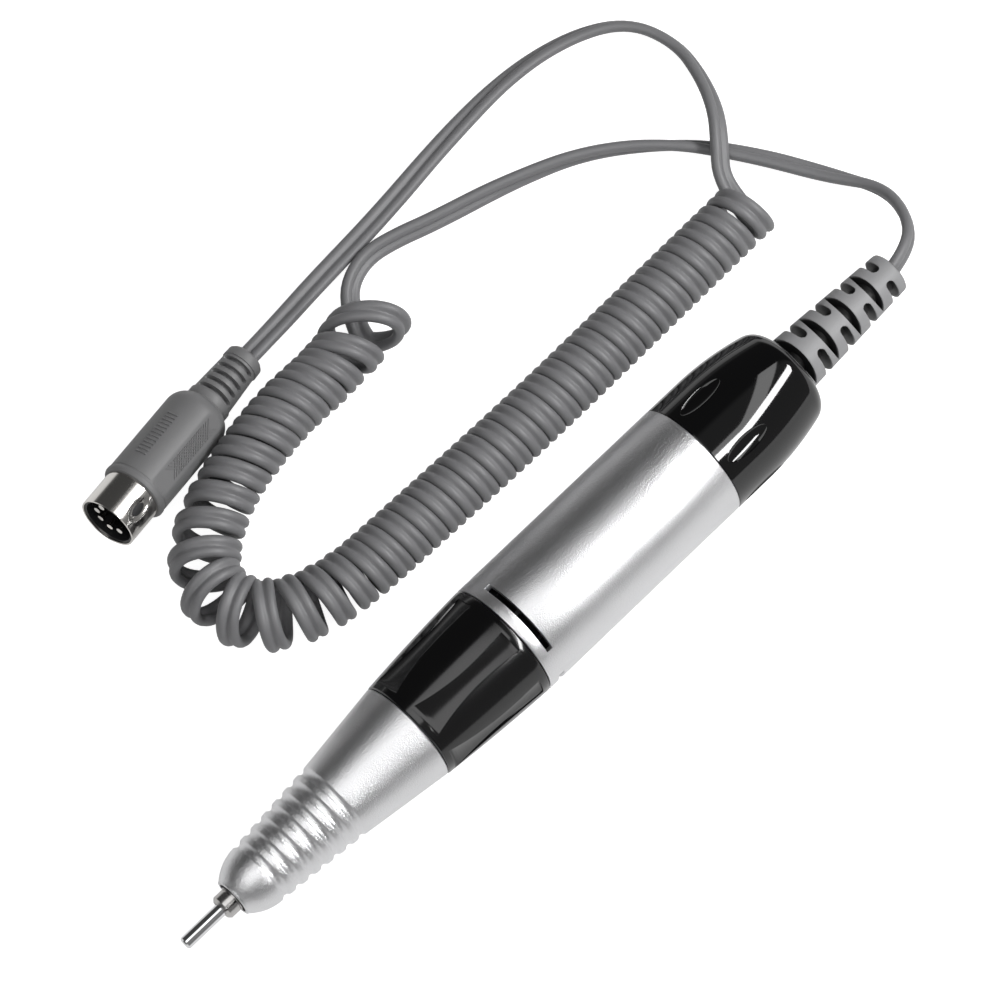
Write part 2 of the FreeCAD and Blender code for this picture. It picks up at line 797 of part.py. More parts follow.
# Jaw couplings between spindle and motor: two dogs each, a quarter turn apart.
def makeCouplings():
    def dogs(name, front, turn):
        pieces = [slice(f"{name}_{i}", front, "dogLength", "hubRadius", "dogAngle", turn + i * 180)
                  for i in range(2)]
        ring = tube(f"{name}_eye", front, f"{front} + dogLength", "spindleRadius", "0")
        return cut(f"{name}_pair", joined(f"{name}_wedges", pieces), ring)
    drivenHub = tube("driven_hub", "drivenFront", "spindleBack", "hubRadius", "spindleRadius")
    finish(joined("driven_coupling", [drivenHub, dogs("driven_dogs", "spindleBack", 0)]))
    driveHub = tube("drive_hub", "driveFront", "driveFront + driveHub", "hubRadius",
                    "motorShaftRadius")
    finish(joined("drive_coupling", [driveHub, dogs("drive_dogs", "dogFront", 90)]))


def makeFan():
    hub = tube("fan_hub", "fanFront", "fanBack", "fanHubRadius", "motorShaftRadius")
    plate = tube("fan_plate", "fanBack - fanPlate", "fanBack", "fanRadius", "motorShaftRadius")
    blades = []
    count = int(value("fanBlades"))
    for i in range(count):
        blades.append(fin(f"fan_blade_{i}", "fanFront", "fanLength", "fanPlate",
                          "fanHubRadius - edgeBreak", "fanRadius - edgeBreak", i * 360 / count))
    finish(joined("cooling_fan", [hub, plate] + blades))


# Motor: mount plate and screws, can, magnets, bushes, end bell.
def makeMotorCase():
    plate = tube("mount_blank", "mountFront", "canFront", "barrelBore", "bushRadius + edgeBreak")
    face = tube("can_blank_face", "canFront", "canFront + canWall", "canRadius", "bushRadius")
    wall = tube("can_blank_wall", "canFront", "canBack", "canRadius", "magnetRadius")
    mountHoles = []
    canHoles = []
    screws = []
    for i, place in enumerate(("screwPitchRadius", "-screwPitchRadius")):
        at = ("mountFront", place, 0)
        shank = "mountThickness + canWall"
        mountHoles.append(rod(f"mount_hole_{i}", "screwRadius", shank, at))
        canHoles.append(rod(f"can_hole_{i}", "screwRadius", shank, at))
        head = rod(f"screw_head_{i}", "screwHeadRadius", "screwHeadLength",
                   ("mountFront - screwHeadLength", place, 0))
        stem = rod(f"screw_stem_{i}", "screwRadius", shank, at)
        drive = block(f"screw_drive_{i}", "screwHeadLength / 2", "screwDrive",
                      "2 * screwHeadRadius", ("mountFront - screwHeadLength",
                                              f"{place} - screwDrive / 2", "-screwHeadRadius"))
        screws.append(cut(f"mount_screw_{i}", joined(f"screw_{i}", [head, stem]), drive))
    for i, angle in enumerate((0, 180)):
        mountHoles.append(rod(f"mount_vent_{i}", "ventRadius", "mountThickness",
                              ("mountFront", *aside("screwPitchRadius", angle))))
    finish(cut("motor_mount", plate, joined("mount_holes", mountHoles)))
    finish(cut("motor_can", joined("can_blank", [face, wall]), joined("can_holes", canHoles)))
    finish(group("mount_screws", screws))
    magnetFront = "canFront + magnetInset - rotorShift"
    ring = tube("magnet_ring", magnetFront, f"{magnetFront} + magnetLength", "magnetRadius",
                "magnetRadius - magnetWall")
    wedges = [slice(f"magnet_wedge_{i}", magnetFront, "magnetLength", "canRadius", "magnetAngle",
                    i * 180) for i in range(2)]
    finish(boolean("Common", "motor_magnets", ring, joined("magnet_wedges", wedges)))

    cavity = "magnetRadius - bellWall"
    bell = turned("bell_blank", [
        ("canBack - bellSpigot", cavity),
        ("canBack - bellSpigot", "magnetRadius"),
        ("canBack", "magnetRadius"),
        ("canBack", "canRadius"),
        ("bellBack", "canRadius"),
        ("bellBack", "bushRadius + bushHub"),
        ("bellFloorFront + bushLength", "bushRadius + bushHub"),
        ("bellFloorFront + bushLength", "bushRadius"),
        ("bellFloorFront", "bushRadius"),
        ("bellFloorFront", cavity),
    ])
    slots = []
    for i, angle in enumerate((90, -90)):
        slots.append(fin(f"bell_slot_{i}", "bellFloorFront", "bellFloor", "terminalWidth",
                         "terminalRadius", "terminalRadius + terminalThickness", angle))
    finish(cut("end_bell", bell, joined("bell_slots", slots)))
    bushes = []
    for name, front in (("front_bush", "canFront"), ("rear_bush", "bellFloorFront")):
        bushes.append(tube(name, front, f"{front} + bushLength", "bushRadius",
                           "motorShaftRadius + runningGap / 2"))
    finish(group("motor_bushes", bushes))


# Rotor: shaft, slotted core, windings, commutator.
def makeRotor():
    finish(tube("motor_shaft", "dogFront + axialGap", "bellBack + shaftTail", "motorShaftRadius"))
    core = tube("core_blank", "armatureFront", "armatureBack", "armatureRadius", "motorShaftRadius")
    slots = []
    bars = []
    count = int(value("armatureSlots"))
    for i in range(count):
        slots.append(fin(f"core_slot_{i}", "armatureFront", "armatureLength", "coreSlotWidth",
                         "coreSlotFloor", "armatureRadius + cutMargin", i * 360 / count))
        bars.append(fin(f"winding_bar_{i}", "armatureFront - windingLength / 2",
                        "armatureLength + windingLength", "coreSlotWidth - 2 * windingGap",
                        "coreSlotFloor + windingGap", "windingRadius", i * 360 / count))
    finish(cut("armature_core", core, joined("core_slots", slots)))
    for side, front in (("front", "armatureFront - windingLength"), ("back", "armatureBack")):
        middle = f"{front} + windingLength / 2"
        bars.append(turned(f"winding_{side}", [
            (front, "commutatorRadius"),
            (front, "windingRadius - windingEdge"),
            (middle, "windingRadius", "windingRound"),
            (f"{front} + windingLength", "windingRadius - windingEdge", "windingRound"),
            (f"{front} + windingLength", "commutatorRadius"),
        ]))
    finish(joined("armature_windings", bars))
    drum = tube("commutator_blank", "commutatorFront", "commutatorBack", "commutatorRadius",
                "motorShaftRadius")
    gaps = [fin(f"commutator_gap_{i}", "commutatorFront", "commutatorLength", "commutatorGap",
                "commutatorRadius - commutatorGapDepth", "commutatorRadius + cutMargin",
                (i + 0.5) * 360 / count)
            for i in range(count)]
    finish(cut("commutator", drum, joined("commutator_gaps", gaps)))


# Brushes on both sides of the commutator, in brass holders, each pushed by a small spring.
def makeBrushes():
    front = "commutatorFront + (commutatorLength - brushWidth) / 2"
    start = "commutatorRadius + brushGap"
    end = f"{start} + brushLength"
    far = "magnetRadius - bellWall - closedGap"
    brushes = []
    holders = []
    springs = []
    for i, angle in enumerate((90, -90)):
        brushes.append(fin(f"brush_{i}", front, "brushWidth", "brushHeight", start, end, angle))
        outer = fin(f"holder_outer_{i}", f"{front} - holderWall", "brushWidth + 2 * holderWall",
                    "brushHeight + 2 * holderWall", f"{start} + holderInset", far, angle)
        inner = fin(f"holder_inner_{i}", front, "brushWidth", "brushHeight", start,
                    f"{far} - holderWall", angle)
        holders.append(cut(f"brush_holder_{i}", outer, inner))
        wire = value("brushSpringWire")
        reach = value(f"{far} - holderWall - ({end})") - 2 * wire - 2 * value("brushSpringClear")
        helix = Part.makeHelix(reach / value("brushSpringTurns"), reach, value("brushSpringRadius"))
        centre = FreeCAD.Vector(value("brushSpringRadius"), 0, 0)
        section = Part.Wire(Part.Edge(Part.Circle(centre, YAXIS, wire)))
        coil = Part.Solid(Part.Wire(helix.Edges).makePipeShell([section], True, True))
        outward = FreeCAD.Vector(0, -math.sin(math.radians(angle)), 0)
        base = FreeCAD.Vector(value(f"{front} + brushWidth / 2"), 0, 0)
        base = base + outward * (value(f"{end} + brushSpringClear") + wire)
        coil.Placement = FreeCAD.Placement(base, FreeCAD.Rotation(ZAXIS, outward))
        springs.append(coil)
    finish(group("carbon_brushes", brushes))
    finish(group("brush_holders", holders))
    pair = doc.addObject("Part::Feature", "brush_springs")
    pair.Shape = Part.Compound(springs)
    finish(pair)


# Terminals, suppressor capacitor, and the two wires that run to the cord clamp.
def makeWiring():
    blades = []
    for i, angle in enumerate((90, -90)):
        blades.append(fin(f"terminal_{i}", "bellFloorFront", "terminalLength + bellFloor",
                          "terminalWidth", "terminalRadius", "terminalRadius + terminalThickness",
                          angle))
    finish(group("motor_terminals", blades))
    body = rod("capacitor_disc", "capacitorRadius", "capacitorLength",
               ("terminalBack - capacitorInset", 0, 0))
    legs = rod("capacitor_legs", "legRadius", "2 * terminalRadius",
               ("terminalBack - capacitorInset + capacitorLength / 2", "terminalRadius", 0),
               FreeCAD.Vector(0, -1, 0))
    finish(joined("noise_capacitor", [body, legs]))
    wires = []
    for name, side in (("live_wire", -1), ("return_wire", 1)):
        y = side * value("terminalRadius + terminalThickness / 2")
        route = [
            (value("terminalBack"), y, 0),
            (value("terminalBack + wireStraight"), y, 0),
            (value("clampFront - wireRunIn"), side * value("wireSpread"), 0),
            (value("clampFront"), side * value("wireSpread"), 0),
        ]
        wires.append(routeTube(name, route, value("wireRadius")))
    pair = doc.addObject("Part::Feature", "motor_wires")
    pair.Shape = Part.Compound(wires)
    finish(pair)


# Barrel with its three cooling slots.
def makeBarrel():
    blank = turned("barrel_blank", [
        ("barrelFront", "barrelBore"),
        ("barrelFront", "barrelRadius - edgeBreak"),
        ("barrelFront + edgeBreak", "barrelRadius"),
        ("capFront - edgeBreak", "barrelRadius"),
        ("capFront", "barrelRadius - edgeBreak"),
        ("capFront", "barrelBore"),
    ])
    slots = []
    count = int(value("coolingSlots"))
    for i in range(count):
        slots.append(slice(f"cooling_slot_{i}", "barrelFront + coolingSlotInset - coolingSlotWidth / 2",
                           "coolingSlotWidth", "barrelRadius + cutMargin", "coolingSlotAngle",
                           value("coolingSlotTurn") + i * 360 / count))
    finish(cut("barrel", blank, joined("cooling_slots", slots)))


# Screwed end cap with six thumb dimples.
def makeCap():
    spigot = "capFront - capSpigot"
    taperFront = "capFront + capStraight"
    taperBack = f"{taperFront} + capTaperLength"
    floor = "capBack - capFloor"
    blank = turned("end_cap_blank", [
        (spigot, "barrelBore - spigotWall"),
        (spigot, "barrelBore"),
        ("capFront", "barrelBore"),
        ("capFront", "barrelRadius - edgeBreak / 2"),
        ("capFront + edgeBreak / 2", "barrelRadius"),
        (taperFront, "barrelRadius"),
        (taperBack, "barrelRadius - capTaperDrop", "capTaper"),
        ("capBack", "capFaceRadius", "capCorner"),
        ("capBack", "bootNeckRadius"),
        (floor, "bootNeckRadius"),
        (floor, "capBore - capInnerStep"),
        (f"{floor} - capInnerTaper", "capBore - capRelief"),
        ("capFront", "capBore - capRelief"),
        ("capFront", "barrelBore - spigotWall"),
    ])
    dimples = []
    count = int(value("capDimples"))
    for i in range(count):
        dimple = doc.addObject("Part::Ellipsoid", f"cap_dimple_{i}")
        bind(dimple, "Radius1", "capDimpleDepth")
        bind(dimple, "Radius2", "capDimpleHalfLength")
        bind(dimple, "Radius3", "capDimpleHalfWidth")
        angle = value("capDimpleTurn") + i * 360 / count
        dimples.append(lay(dimple, ("capFront + capDimpleInset", *aside("barrelRadius", angle)),
                           FreeCAD.Rotation(XAXIS, angle)))
    finish(cut("end_cap", blank, joined("cap_dimples", dimples)))


# Strain relief: tapered sleeve with crossing slots, waisted where it sits in the cap.
def makeStrainRelief():
    blank = turned("strain_blank", [
        ("bootFlangeFront", "cordRadius"),
        ("bootFlangeFront", "bootFlangeRadius"),
        ("bootFlangeFront + bootFlange", "bootFlangeRadius"),
        ("bootFlangeFront + bootFlange", "bootNeckRadius"),
        ("capBack", "bootNeckRadius"),
        ("capBack", "bootFrontRadius"),
        ("overall - edgeBreak", "bootBackRadius"),
        ("overall", "bootBackRadius - edgeBreak"),
        ("overall", "cordRadius"),
    ])
    slots = []
    rows = (("top", "bootFirstTop", (0, 180)), ("side", "bootFirstSide", (90, 270)))
    for side, first, turns in rows:
        for i in range(int(value("bootSlots"))):
            front = f"capBack + {first} + {i} * bootSlotPitch - bootSlotWidth / 2"
            for turn in turns:
                slots.append(fin(f"boot_{side}_{i}_{turn}", front, "bootSlotWidth", "bootSlotSpan",
                                 "bootCore", "bootFrontRadius + cutMargin",
                                 f"bootSlotTurn + {turn}"))
    finish(cut("strain_relief", blank, joined("boot_slots", slots)))
    finish(tube("inner_cord", "clampFront", "overall", "cordRadius"))
    finish(tube("cord_clamp", "clampFront", "clampFront + clampLength", "clampRadius", "cordRadius"))


# Straight runs joined by tangent arcs through hand-placed points. Each arc starts and ends this
# share of the shorter run away from its corner.
arcShare = 0.45


def routeEdges(name, points):
    spots = [FreeCAD.Vector(*point) for point in points]
    edges = []
    last = spots[0]
    radii = []
    for before, corner, after in zip(spots, spots[1:], spots[2:]):
        inward = before - corner
        outward = after - corner
        shorter = min(inward.Length, outward.Length)
        half = (math.pi - inward.getAngle(outward)) / 2
        trim = arcShare * shorter
        radii.append(trim / math.tan(half))
        start = corner + inward.normalize() * trim
        end = corner + outward.normalize() * trim
        bisector = (inward + outward).normalize()
        centreGap = radii[-1] / math.cos(half)
        middle = corner + bisector * (centreGap - radii[-1])
        edges.append(Part.LineSegment(last, start).toShape())
        edges.append(Part.Arc(start, middle, end).toShape())
        last = end
    edges.append(Part.LineSegment(last, spots[-1]).toShape())
    print(name, "arc radii", " ".join(f"{radius:.1f}" for radius in radii))
    return edges


def sweepTube(name, edges, radius):
    path = Part.Wire(edges)
    tangent = edges[0].tangentAt(edges[0].FirstParameter)
    section = Part.Wire(Part.Edge(Part.Circle(edges[0].valueAt(edges[0].FirstParameter), tangent, radius)))
    solid = Part.Solid(path.makePipeShell([section], True, False))
    ratio = solid.Volume / (path.Length * math.pi * radius ** 2)
    print(f"{name} length {path.Length:.1f} volume ratio {ratio:.4f}")
    return solid


def routeTube(name, points, radius):
    return sweepTube(name, routeEdges(name, points), radius)


def looseSolid(name, solid):
    piece = doc.addObject("Part::Feature", name)
    piece.Shape = solid
    piece.Placement = FreeCAD.Placement()
    subParts.append(piece)


# The cord's two loose ends and the coil between them, lying on the table. The bow starts at the
# strain relief, and its points are counted from there.
leadBow = [(0.0, 0.0, 0.0), (7.25, 1.2, -0.6), (13.45, 7.5, -4.4), (15.85, 16.5, -8.6)]
leadToHandpiece = [
    (115.6, 27.0, 2.6), (107.8, 41.5, 2.45), (97.6, 56.0, 2.45), (82.5, 68.5, 2.45), (65.0, 75.6, 2.45),
    (47.0, 80.6, 2.45), (30.5, 83.8, 2.6), (20.5, 81.8, 3.2), (18.5, 75.6, 4.0),
]
coilRoute = [
    (95.0, 33.6, 7.2), (-20.0, 32.6, 7.2), (-42.6, 36.6, 7.2), (-49.4, 53.6, 7.3),
    (-33.4, 65.9, 8.4), (-8.0, 70.2, 10.2), (21.5, 72.2, 8.4),
]
leadToPlug = [
    (94.5, 37.5, 3.2), (97.5, 43.0, 4.0), (102.0, 48.0, 7.9), (107.2, 54.0, 7.9), (111.6, 62.4, 4.4),
    (114.2, 72.6, 2.5), (110.6, 83.6, 2.45), (99.8, 90.2, 2.45), (83.5, 93.5, 2.45), (63.0, 92.6, 2.45),
    (40.0, 89.8, 2.45), (19.0, 88.4, 2.6), (6.6, 87.1, 3.0),
]


def makeCord():
    radius = value("cordRadius")
    bow = [(value(f"overall / 2 + {x}"), y, value(f"barrelRadius + ({z})")) for x, y, z in leadBow]
    looseSolid("cord_lead_handpiece",
               routeTube("cord_lead_handpiece", bow + leadToHandpiece, radius))
    lean = math.radians(value("plugPitch"))
    swing = math.radians(value("plugYaw"))
    along = FreeCAD.Vector(math.cos(swing) * math.cos(lean), math.sin(swing) * math.cos(lean),
                           -math.sin(lean))
    tail = FreeCAD.Vector(*[value(place) for place in ("plugX", "plugY", "plugZ")])
    tail = tail + along * value("plugLength")
    looseSolid("cord_lead_plug", routeTube("cord_lead_plug", leadToPlug + [tuple(tail)], radius))

    fat = value("coilRadius")
    runs = routeEdges("cord_coil", coilRoute)
    first = runs[2]
    second = runs[6]
    halves = []
    for run in (first, second):
        middle = run.valueAt((run.FirstParameter + run.LastParameter) / 2)
        ends = [vertex.Point for vertex in run.Vertexes]
        halves.append((Part.LineSegment(ends[0], middle).toShape(),
                       Part.LineSegment(middle, ends[1]).toShape()))
    looseSolid("cord_coil_long", sweepTube("cord_coil_long", runs[:2] + [halves[0][0]], fat))
    looseSolid("cord_coil_bend", sweepTube(
        "cord_coil_bend", [halves[0][1]] + runs[3:6] + [halves[1][0]], fat))
    looseSolid("cord_coil_short", sweepTube("cord_coil_short", [halves[1][1]] + runs[7:], fat))


# Round plug: grey moulding, slotted boot, metal shell, black insert and five contacts.
# Its own X axis starts at the shell's mouth and runs to the cord.
def makePlug():
    rim = "shellOut"
    tail = "shellOut + mouldLength"
    end = "plugLength"
    deep = "shellOut + shellInset"
    finishPlug(turned("plug_body", [
        (rim, "mouldRadius - mouldEdge"),
        (f"{rim} + mouldEdge", "mouldRadius", "mouldEdge"),
        (f"{tail} - mouldTailEdge", "mouldRadius"),
        (tail, "plugBootFront", "mouldTailRound"),
        (tail, "0"),
        (deep, "0"),
        (deep, "shellRadius - shellStep"),
        (rim, "shellRadius - shellStep"),
    ]))
    bootBlank = turned("plug_boot_blank", [
        (tail, "0"),
        (tail, "plugBootFront"),
        (end, "plugBootBack"),
        (end, "0"),
    ])
    grooves = []
    for i in range(int(value("plugSlots"))):
        front = f"{tail} + plugBootRing + {i} * plugSlotPitch"
        for turn in (0, 180):
            grooves.append(fin(f"plug_groove_{i}_{turn}", front, "plugSlotWidth",
                               "2 * plugBootFront", "plugBootNeck", "plugBootFront + cutMargin",
                               f"bootSlotTurn + {turn}"))
    finishPlug(cut("plug_boot", bootBlank, joined("plug_grooves", grooves)))
    window = fin("shell_window", "windowFront", "windowLength", "windowWidth",
                 "shellRadius - cutMargin", "shellRadius + cutMargin", "keyAngle")
    shell = turned("shell_blank", [
        ("0", "shellRadius - shellWall"),
        ("0", "shellRadius"),
        (rim, "shellRadius"),
        (rim, "shellRadius - shellStep"),
        (deep, "shellRadius - shellStep"),
        (deep, "shellRadius - shellWall"),
    ])
    finishPlug(cut("plug_shell", shell, window))
    inside = "shellRadius - shellWall"
    finishPlug(turned("plug_insulator", [
        ("linerInset", f"{inside} - linerWall"),
        ("linerInset", inside),
        (deep, inside),
        (deep, "0"),
        ("plugRecess", "0"),
        ("plugRecess", f"{inside} - linerWall"),
    ]))
    contacts = []
    for i in range(int(value("contactCount"))):
        angle = f"keyAngle + 90 + {i} * contactStep"
        contacts.append(rod(f"contact_{i}", "contactRadius", "plugRecess - contactInset",
                            ("contactInset", *aside("contactCircle", angle))))
    finishPlug(group("plug_contacts", contacts))


def checkAndExport():
    doc.recompute()
    faults = []
    for thing in doc.Objects:
        if "Invalid" in thing.State or "Error" in thing.State:
            faults.append(f"{thing.Label} is {thing.State}")
    for piece in subParts:
        if piece.Shape.isNull() or not piece.Shape.isValid() or not piece.Shape.Solids:
            faults.append(f"{piece.Label} has no valid shape")
    if faults:
        raise RuntimeError("; ".join(faults))
    os.makedirs("parts", exist_ok=True)
    for piece in subParts:
        piece.Shape.exportStep(f"parts/{piece.Label}.step")
    print(len(subParts), "sub-parts written")


makeNose()
makePin()
makeCollet()
makeSpindle()
makeNoseFittings()
makeHousing()
makeTwistRing()
makeRelease()
makeCollar()
makeCouplings()
makeFan()
makeMotorCase()
makeRotor()
makeBrushes()
makeWiring()
makeBarrel()
makeCap()
makeStrainRelief()
makeCord()
makePlug()
checkAndExport()
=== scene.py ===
import math

import bmesh
import bpy
from mathutils import Matrix, Vector


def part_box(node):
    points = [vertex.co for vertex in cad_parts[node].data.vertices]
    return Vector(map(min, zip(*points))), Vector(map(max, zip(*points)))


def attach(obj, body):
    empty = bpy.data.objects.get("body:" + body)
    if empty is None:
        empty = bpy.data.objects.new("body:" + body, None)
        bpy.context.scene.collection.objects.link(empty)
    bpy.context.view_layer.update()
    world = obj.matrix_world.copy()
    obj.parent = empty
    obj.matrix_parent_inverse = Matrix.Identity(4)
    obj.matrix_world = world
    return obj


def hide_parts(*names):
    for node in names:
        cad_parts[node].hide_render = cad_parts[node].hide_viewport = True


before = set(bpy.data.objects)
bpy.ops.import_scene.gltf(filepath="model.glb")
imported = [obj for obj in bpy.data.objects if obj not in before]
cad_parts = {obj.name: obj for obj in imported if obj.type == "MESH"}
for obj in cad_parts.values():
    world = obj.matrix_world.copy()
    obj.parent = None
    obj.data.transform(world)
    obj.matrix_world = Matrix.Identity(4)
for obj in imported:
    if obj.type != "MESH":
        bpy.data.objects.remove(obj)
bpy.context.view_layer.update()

mm = 0.001

# Stations along the handpiece are counted in mm from the pin's tip, as on a lathe.
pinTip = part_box("chuck_pin")[0].x
axisHeight = (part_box("barrel")[0].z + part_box("barrel")[1].z) / 2


def along(station):
    return pinTip + station * mm


def spotOn(station, radius, angle):
    # angle 0 is up, 90 is towards the front (-Y)
    turn = math.radians(angle)
    return Vector((along(station), -radius * mm * math.sin(turn),
                   axisHeight + radius * mm * math.cos(turn)))


mouth = (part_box("nose_cone")[0].x - pinTip) / mm
noseBack = (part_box("nose_cone")[1].x - pinTip) / mm
barrelFront = (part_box("barrel")[0].x - pinTip) / mm
capFront = (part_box("barrel")[1].x - pinTip) / mm
capBack = (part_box("end_cap")[1].x - pinTip) / mm
overall = (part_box("strain_relief")[1].x - pinTip) / mm
print("frame loaded, handpiece is", round(overall, 1), "mm long")


# Camera and light.
camera = {
    "place": (-0.25475, -0.2404, 1.0972),
    "aim": (0.01255, 0.0274, 0.0),
    "lens": 197.6,
    "sensor": 36,
    "farthest": 20,
}
lights = {
    "strip": {"tilt": 28, "sideways": 0.52, "far": 0.8, "long": 0.95, "wide": 0.14, "power": 8.5},
    "softbox": {"tilt": 10, "sideways": 0.52, "far": 0.85, "long": 0.95, "wide": 0.18,
                "power": 1.3},
    "tip": {"tilt": 1, "sideways": -0.36, "far": 0.8, "long": 0.6, "wide": 1.0, "power": 3.0},
}
# the lamps look at a point nearer the middle than they stand, just above the table
lampAim = {"share": 0.4, "height": 0.01}
# the wall's edges are angles from straight up towards the back, in radians
room = {"strength": 0.2, "wallTop": (0.1, 0.3), "wallFoot": (1.4, 1.55),
        "pale": (1.0, 1.0, 1.0), "wall": (0.3, 0.3, 0.3)}


def addCamera():
    bpy.ops.object.camera_add(location=camera["place"])
    eye = bpy.context.object
    eye.name = "studioCamera"
    aim = Vector(camera["aim"]) - Vector(camera["place"])
    eye.rotation_euler = aim.to_track_quat("-Z", "Y").to_euler()
    eye.data.lens = camera["lens"]
    eye.data.sensor_width = camera["sensor"]
    eye.data.clip_end = camera["farthest"]
    bpy.context.scene.camera = eye


def addLights():
    # tilt is measured from straight up towards the front, seen along the handpiece
    for name, light in lights.items():
        tilt = math.radians(light["tilt"])
        place = Vector((light["sideways"], -math.sin(tilt) * light["far"],
                        math.cos(tilt) * light["far"]))
        bpy.ops.object.light_add(type="AREA", location=place)
        lamp = bpy.context.object
        lamp.name = name + "Light"
        lamp.data.shape = "RECTANGLE"
        lamp.data.size = light["long"]
        lamp.data.size_y = light["wide"]
        lamp.data.energy = light["power"]
        toObject = Vector((light["sideways"] * lampAim["share"], 0, lampAim["height"])) - place
        lamp.rotation_euler = toObject.to_track_quat("-Z", "Y").to_euler()
    world = bpy.data.worlds.new("studio")
    bpy.context.scene.world = world
    world.use_nodes = True
    # the room is pale, with a dark wall behind the object, from low to nearly overhead
    tree = world.node_tree
    backdrop = tree.nodes["Background"]
    split = tree.nodes.new("ShaderNodeSeparateXYZ")
    tree.links.new(tree.nodes.new("ShaderNodeTexCoord").outputs["Generated"], split.inputs[0])
    tilt = mathNode(tree, "ARCTAN2", split.outputs["Y"], split.outputs["Z"])
    above = rampNode(tree, tilt, *room["wallTop"])
    below = rampNode(tree, tilt, *room["wallFoot"])
    wall = mathNode(tree, "SUBTRACT", above, below, True)
    tree.links.new(mixNode(tree, wall, room["pale"], room["wall"]), backdrop.inputs["Color"])
    backdrop.inputs["Strength"].default_value = room["strength"]
    bpy.context.scene.view_settings.view_transform = "Standard"
    bpy.context.scene.view_settings.look = "None"


addCamera()
print("camera is set")


# Material helpers.
def newGroup(name, inputs, outputs):
    group = bpy.data.node_groups.new(name, "ShaderNodeTree")
    for label, kind, default in inputs:
        socket = group.interface.new_socket(label, in_out="INPUT", socket_type=kind)
        socket.default_value = default
    for label, kind in outputs:
        group.interface.new_socket(label, in_out="OUTPUT", socket_type=kind)
    return group, group.nodes.new("NodeGroupInput"), group.nodes.new("NodeGroupOutput")


def mathNode(tree, operation, first, second, clamp=False):
    node = tree.nodes.new("ShaderNodeMath")
    node.operation = operation
    node.use_clamp = clamp
    for socket, value in zip(node.inputs, (first, second)):
        if isinstance(value, (int, float)):
            socket.default_value = value
        else:
            tree.links.new(value, socket)
    return node.outputs[0]


def noiseNode(tree, vector, scale, detail=3.0, rough=0.55):
    node = tree.nodes.new("ShaderNodeTexNoise")
    if vector is not None:
        tree.links.new(vector, node.inputs["Vector"])
    if isinstance(scale, (int, float)):
        node.inputs["Scale"].default_value = scale
    else:
        tree.links.new(scale, node.inputs["Scale"])
    node.inputs["Detail"].default_value = detail
    node.inputs["Roughness"].default_value = rough
    return node.outputs["Fac"]


def rampNode(tree, value, low, high):
    node = tree.nodes.new("ShaderNodeMapRange")
    node.interpolation_type = "SMOOTHSTEP"
    tree.links.new(value, node.inputs["Value"])
    node.inputs["From Min"].default_value = low
    node.inputs["From Max"].default_value = high
    return node.outputs["Result"]


def mixNode(tree, share, first, second):
    node = tree.nodes.new("ShaderNodeMix")
    node.data_type = "RGBA"
    if isinstance(share, (int, float)):
        node.inputs["Factor"].default_value = share
    else:
        tree.links.new(share, node.inputs["Factor"])
    for socket, value in ((node.inputs[6], first), (node.inputs[7], second)):
        if isinstance(value, tuple):
            socket.default_value = (*value, 1) if len(value) == 3 else value
        else:
            tree.links.new(value, socket)
    return node.outputs[2]


addLights()
print("lights are set")


def shadeGroup():
    # soft uneven tone: puts out the colour a little darker and lighter in broad clouds
    group, start, end = newGroup(
        "unevenTone",
        [("Color", "NodeSocketColor", (0.5, 0.5, 0.5, 1)), ("Scale", "NodeSocketFloat", 60.0),
         ("Amount", "NodeSocketFloat", 0.1), ("Vector", "NodeSocketVector", (0, 0, 0))],
        [("Color", "NodeSocketColor")])
    cloud = noiseNode(group, start.outputs["Vector"], start.outputs["Scale"])
    swing = mathNode(group, "MULTIPLY", mathNode(group, "SUBTRACT", cloud, 0.5),
                     start.outputs["Amount"])
    gain = mathNode(group, "ADD", swing, 1.0)
    scaled = group.nodes.new("ShaderNodeVectorMath")
    scaled.operation = "SCALE"
    group.links.new(start.outputs["Color"], scaled.inputs[0])
    group.links.new(gain, scaled.inputs["Scale"])
    group.links.new(scaled.outputs[0], end.inputs["Color"])
    return group


def grainGroup():
    # fine random grain, as on blasted metal or moulded plastic
    group, start, end = newGroup(
        "fineGrain",
        [("Vector", "NodeSocketVector", (0, 0, 0)), ("Scale", "NodeSocketFloat", 4000.0),
         ("Coarse", "NodeSocketFloat", 700.0)],
        [("Height", "NodeSocketFloat")])
    fine = noiseNode(group, start.outputs["Vector"], start.outputs["Scale"], 2.0, 0.6)
    coarse = noiseNode(group, start.outputs["Vector"], start.outputs["Coarse"], 3.0, 0.5)
    height = mathNode(group, "ADD", mathNode(group, "MULTIPLY", fine, 0.7),
                      mathNode(group, "MULTIPLY", coarse, 0.3))
    group.links.new(height, end.inputs["Height"])
    return group


def latheGroup():
    # rings left by the lathe: noise that changes along X only
    group, start, end = newGroup(
        "latheLines",
        [("Vector", "NodeSocketVector", (0, 0, 0)), ("Scale", "NodeSocketFloat", 9000.0)],
        [("Height", "NodeSocketFloat")])
    flat = group.nodes.new("ShaderNodeMapping")
    flat.inputs["Scale"].default_value = (1, 0.015, 0.015)
    group.links.new(start.outputs["Vector"], flat.inputs["Vector"])
    group.links.new(noiseNode(group, flat.outputs[0], start.outputs["Scale"], 2.0, 0.5),
                    end.inputs["Height"])
    return group


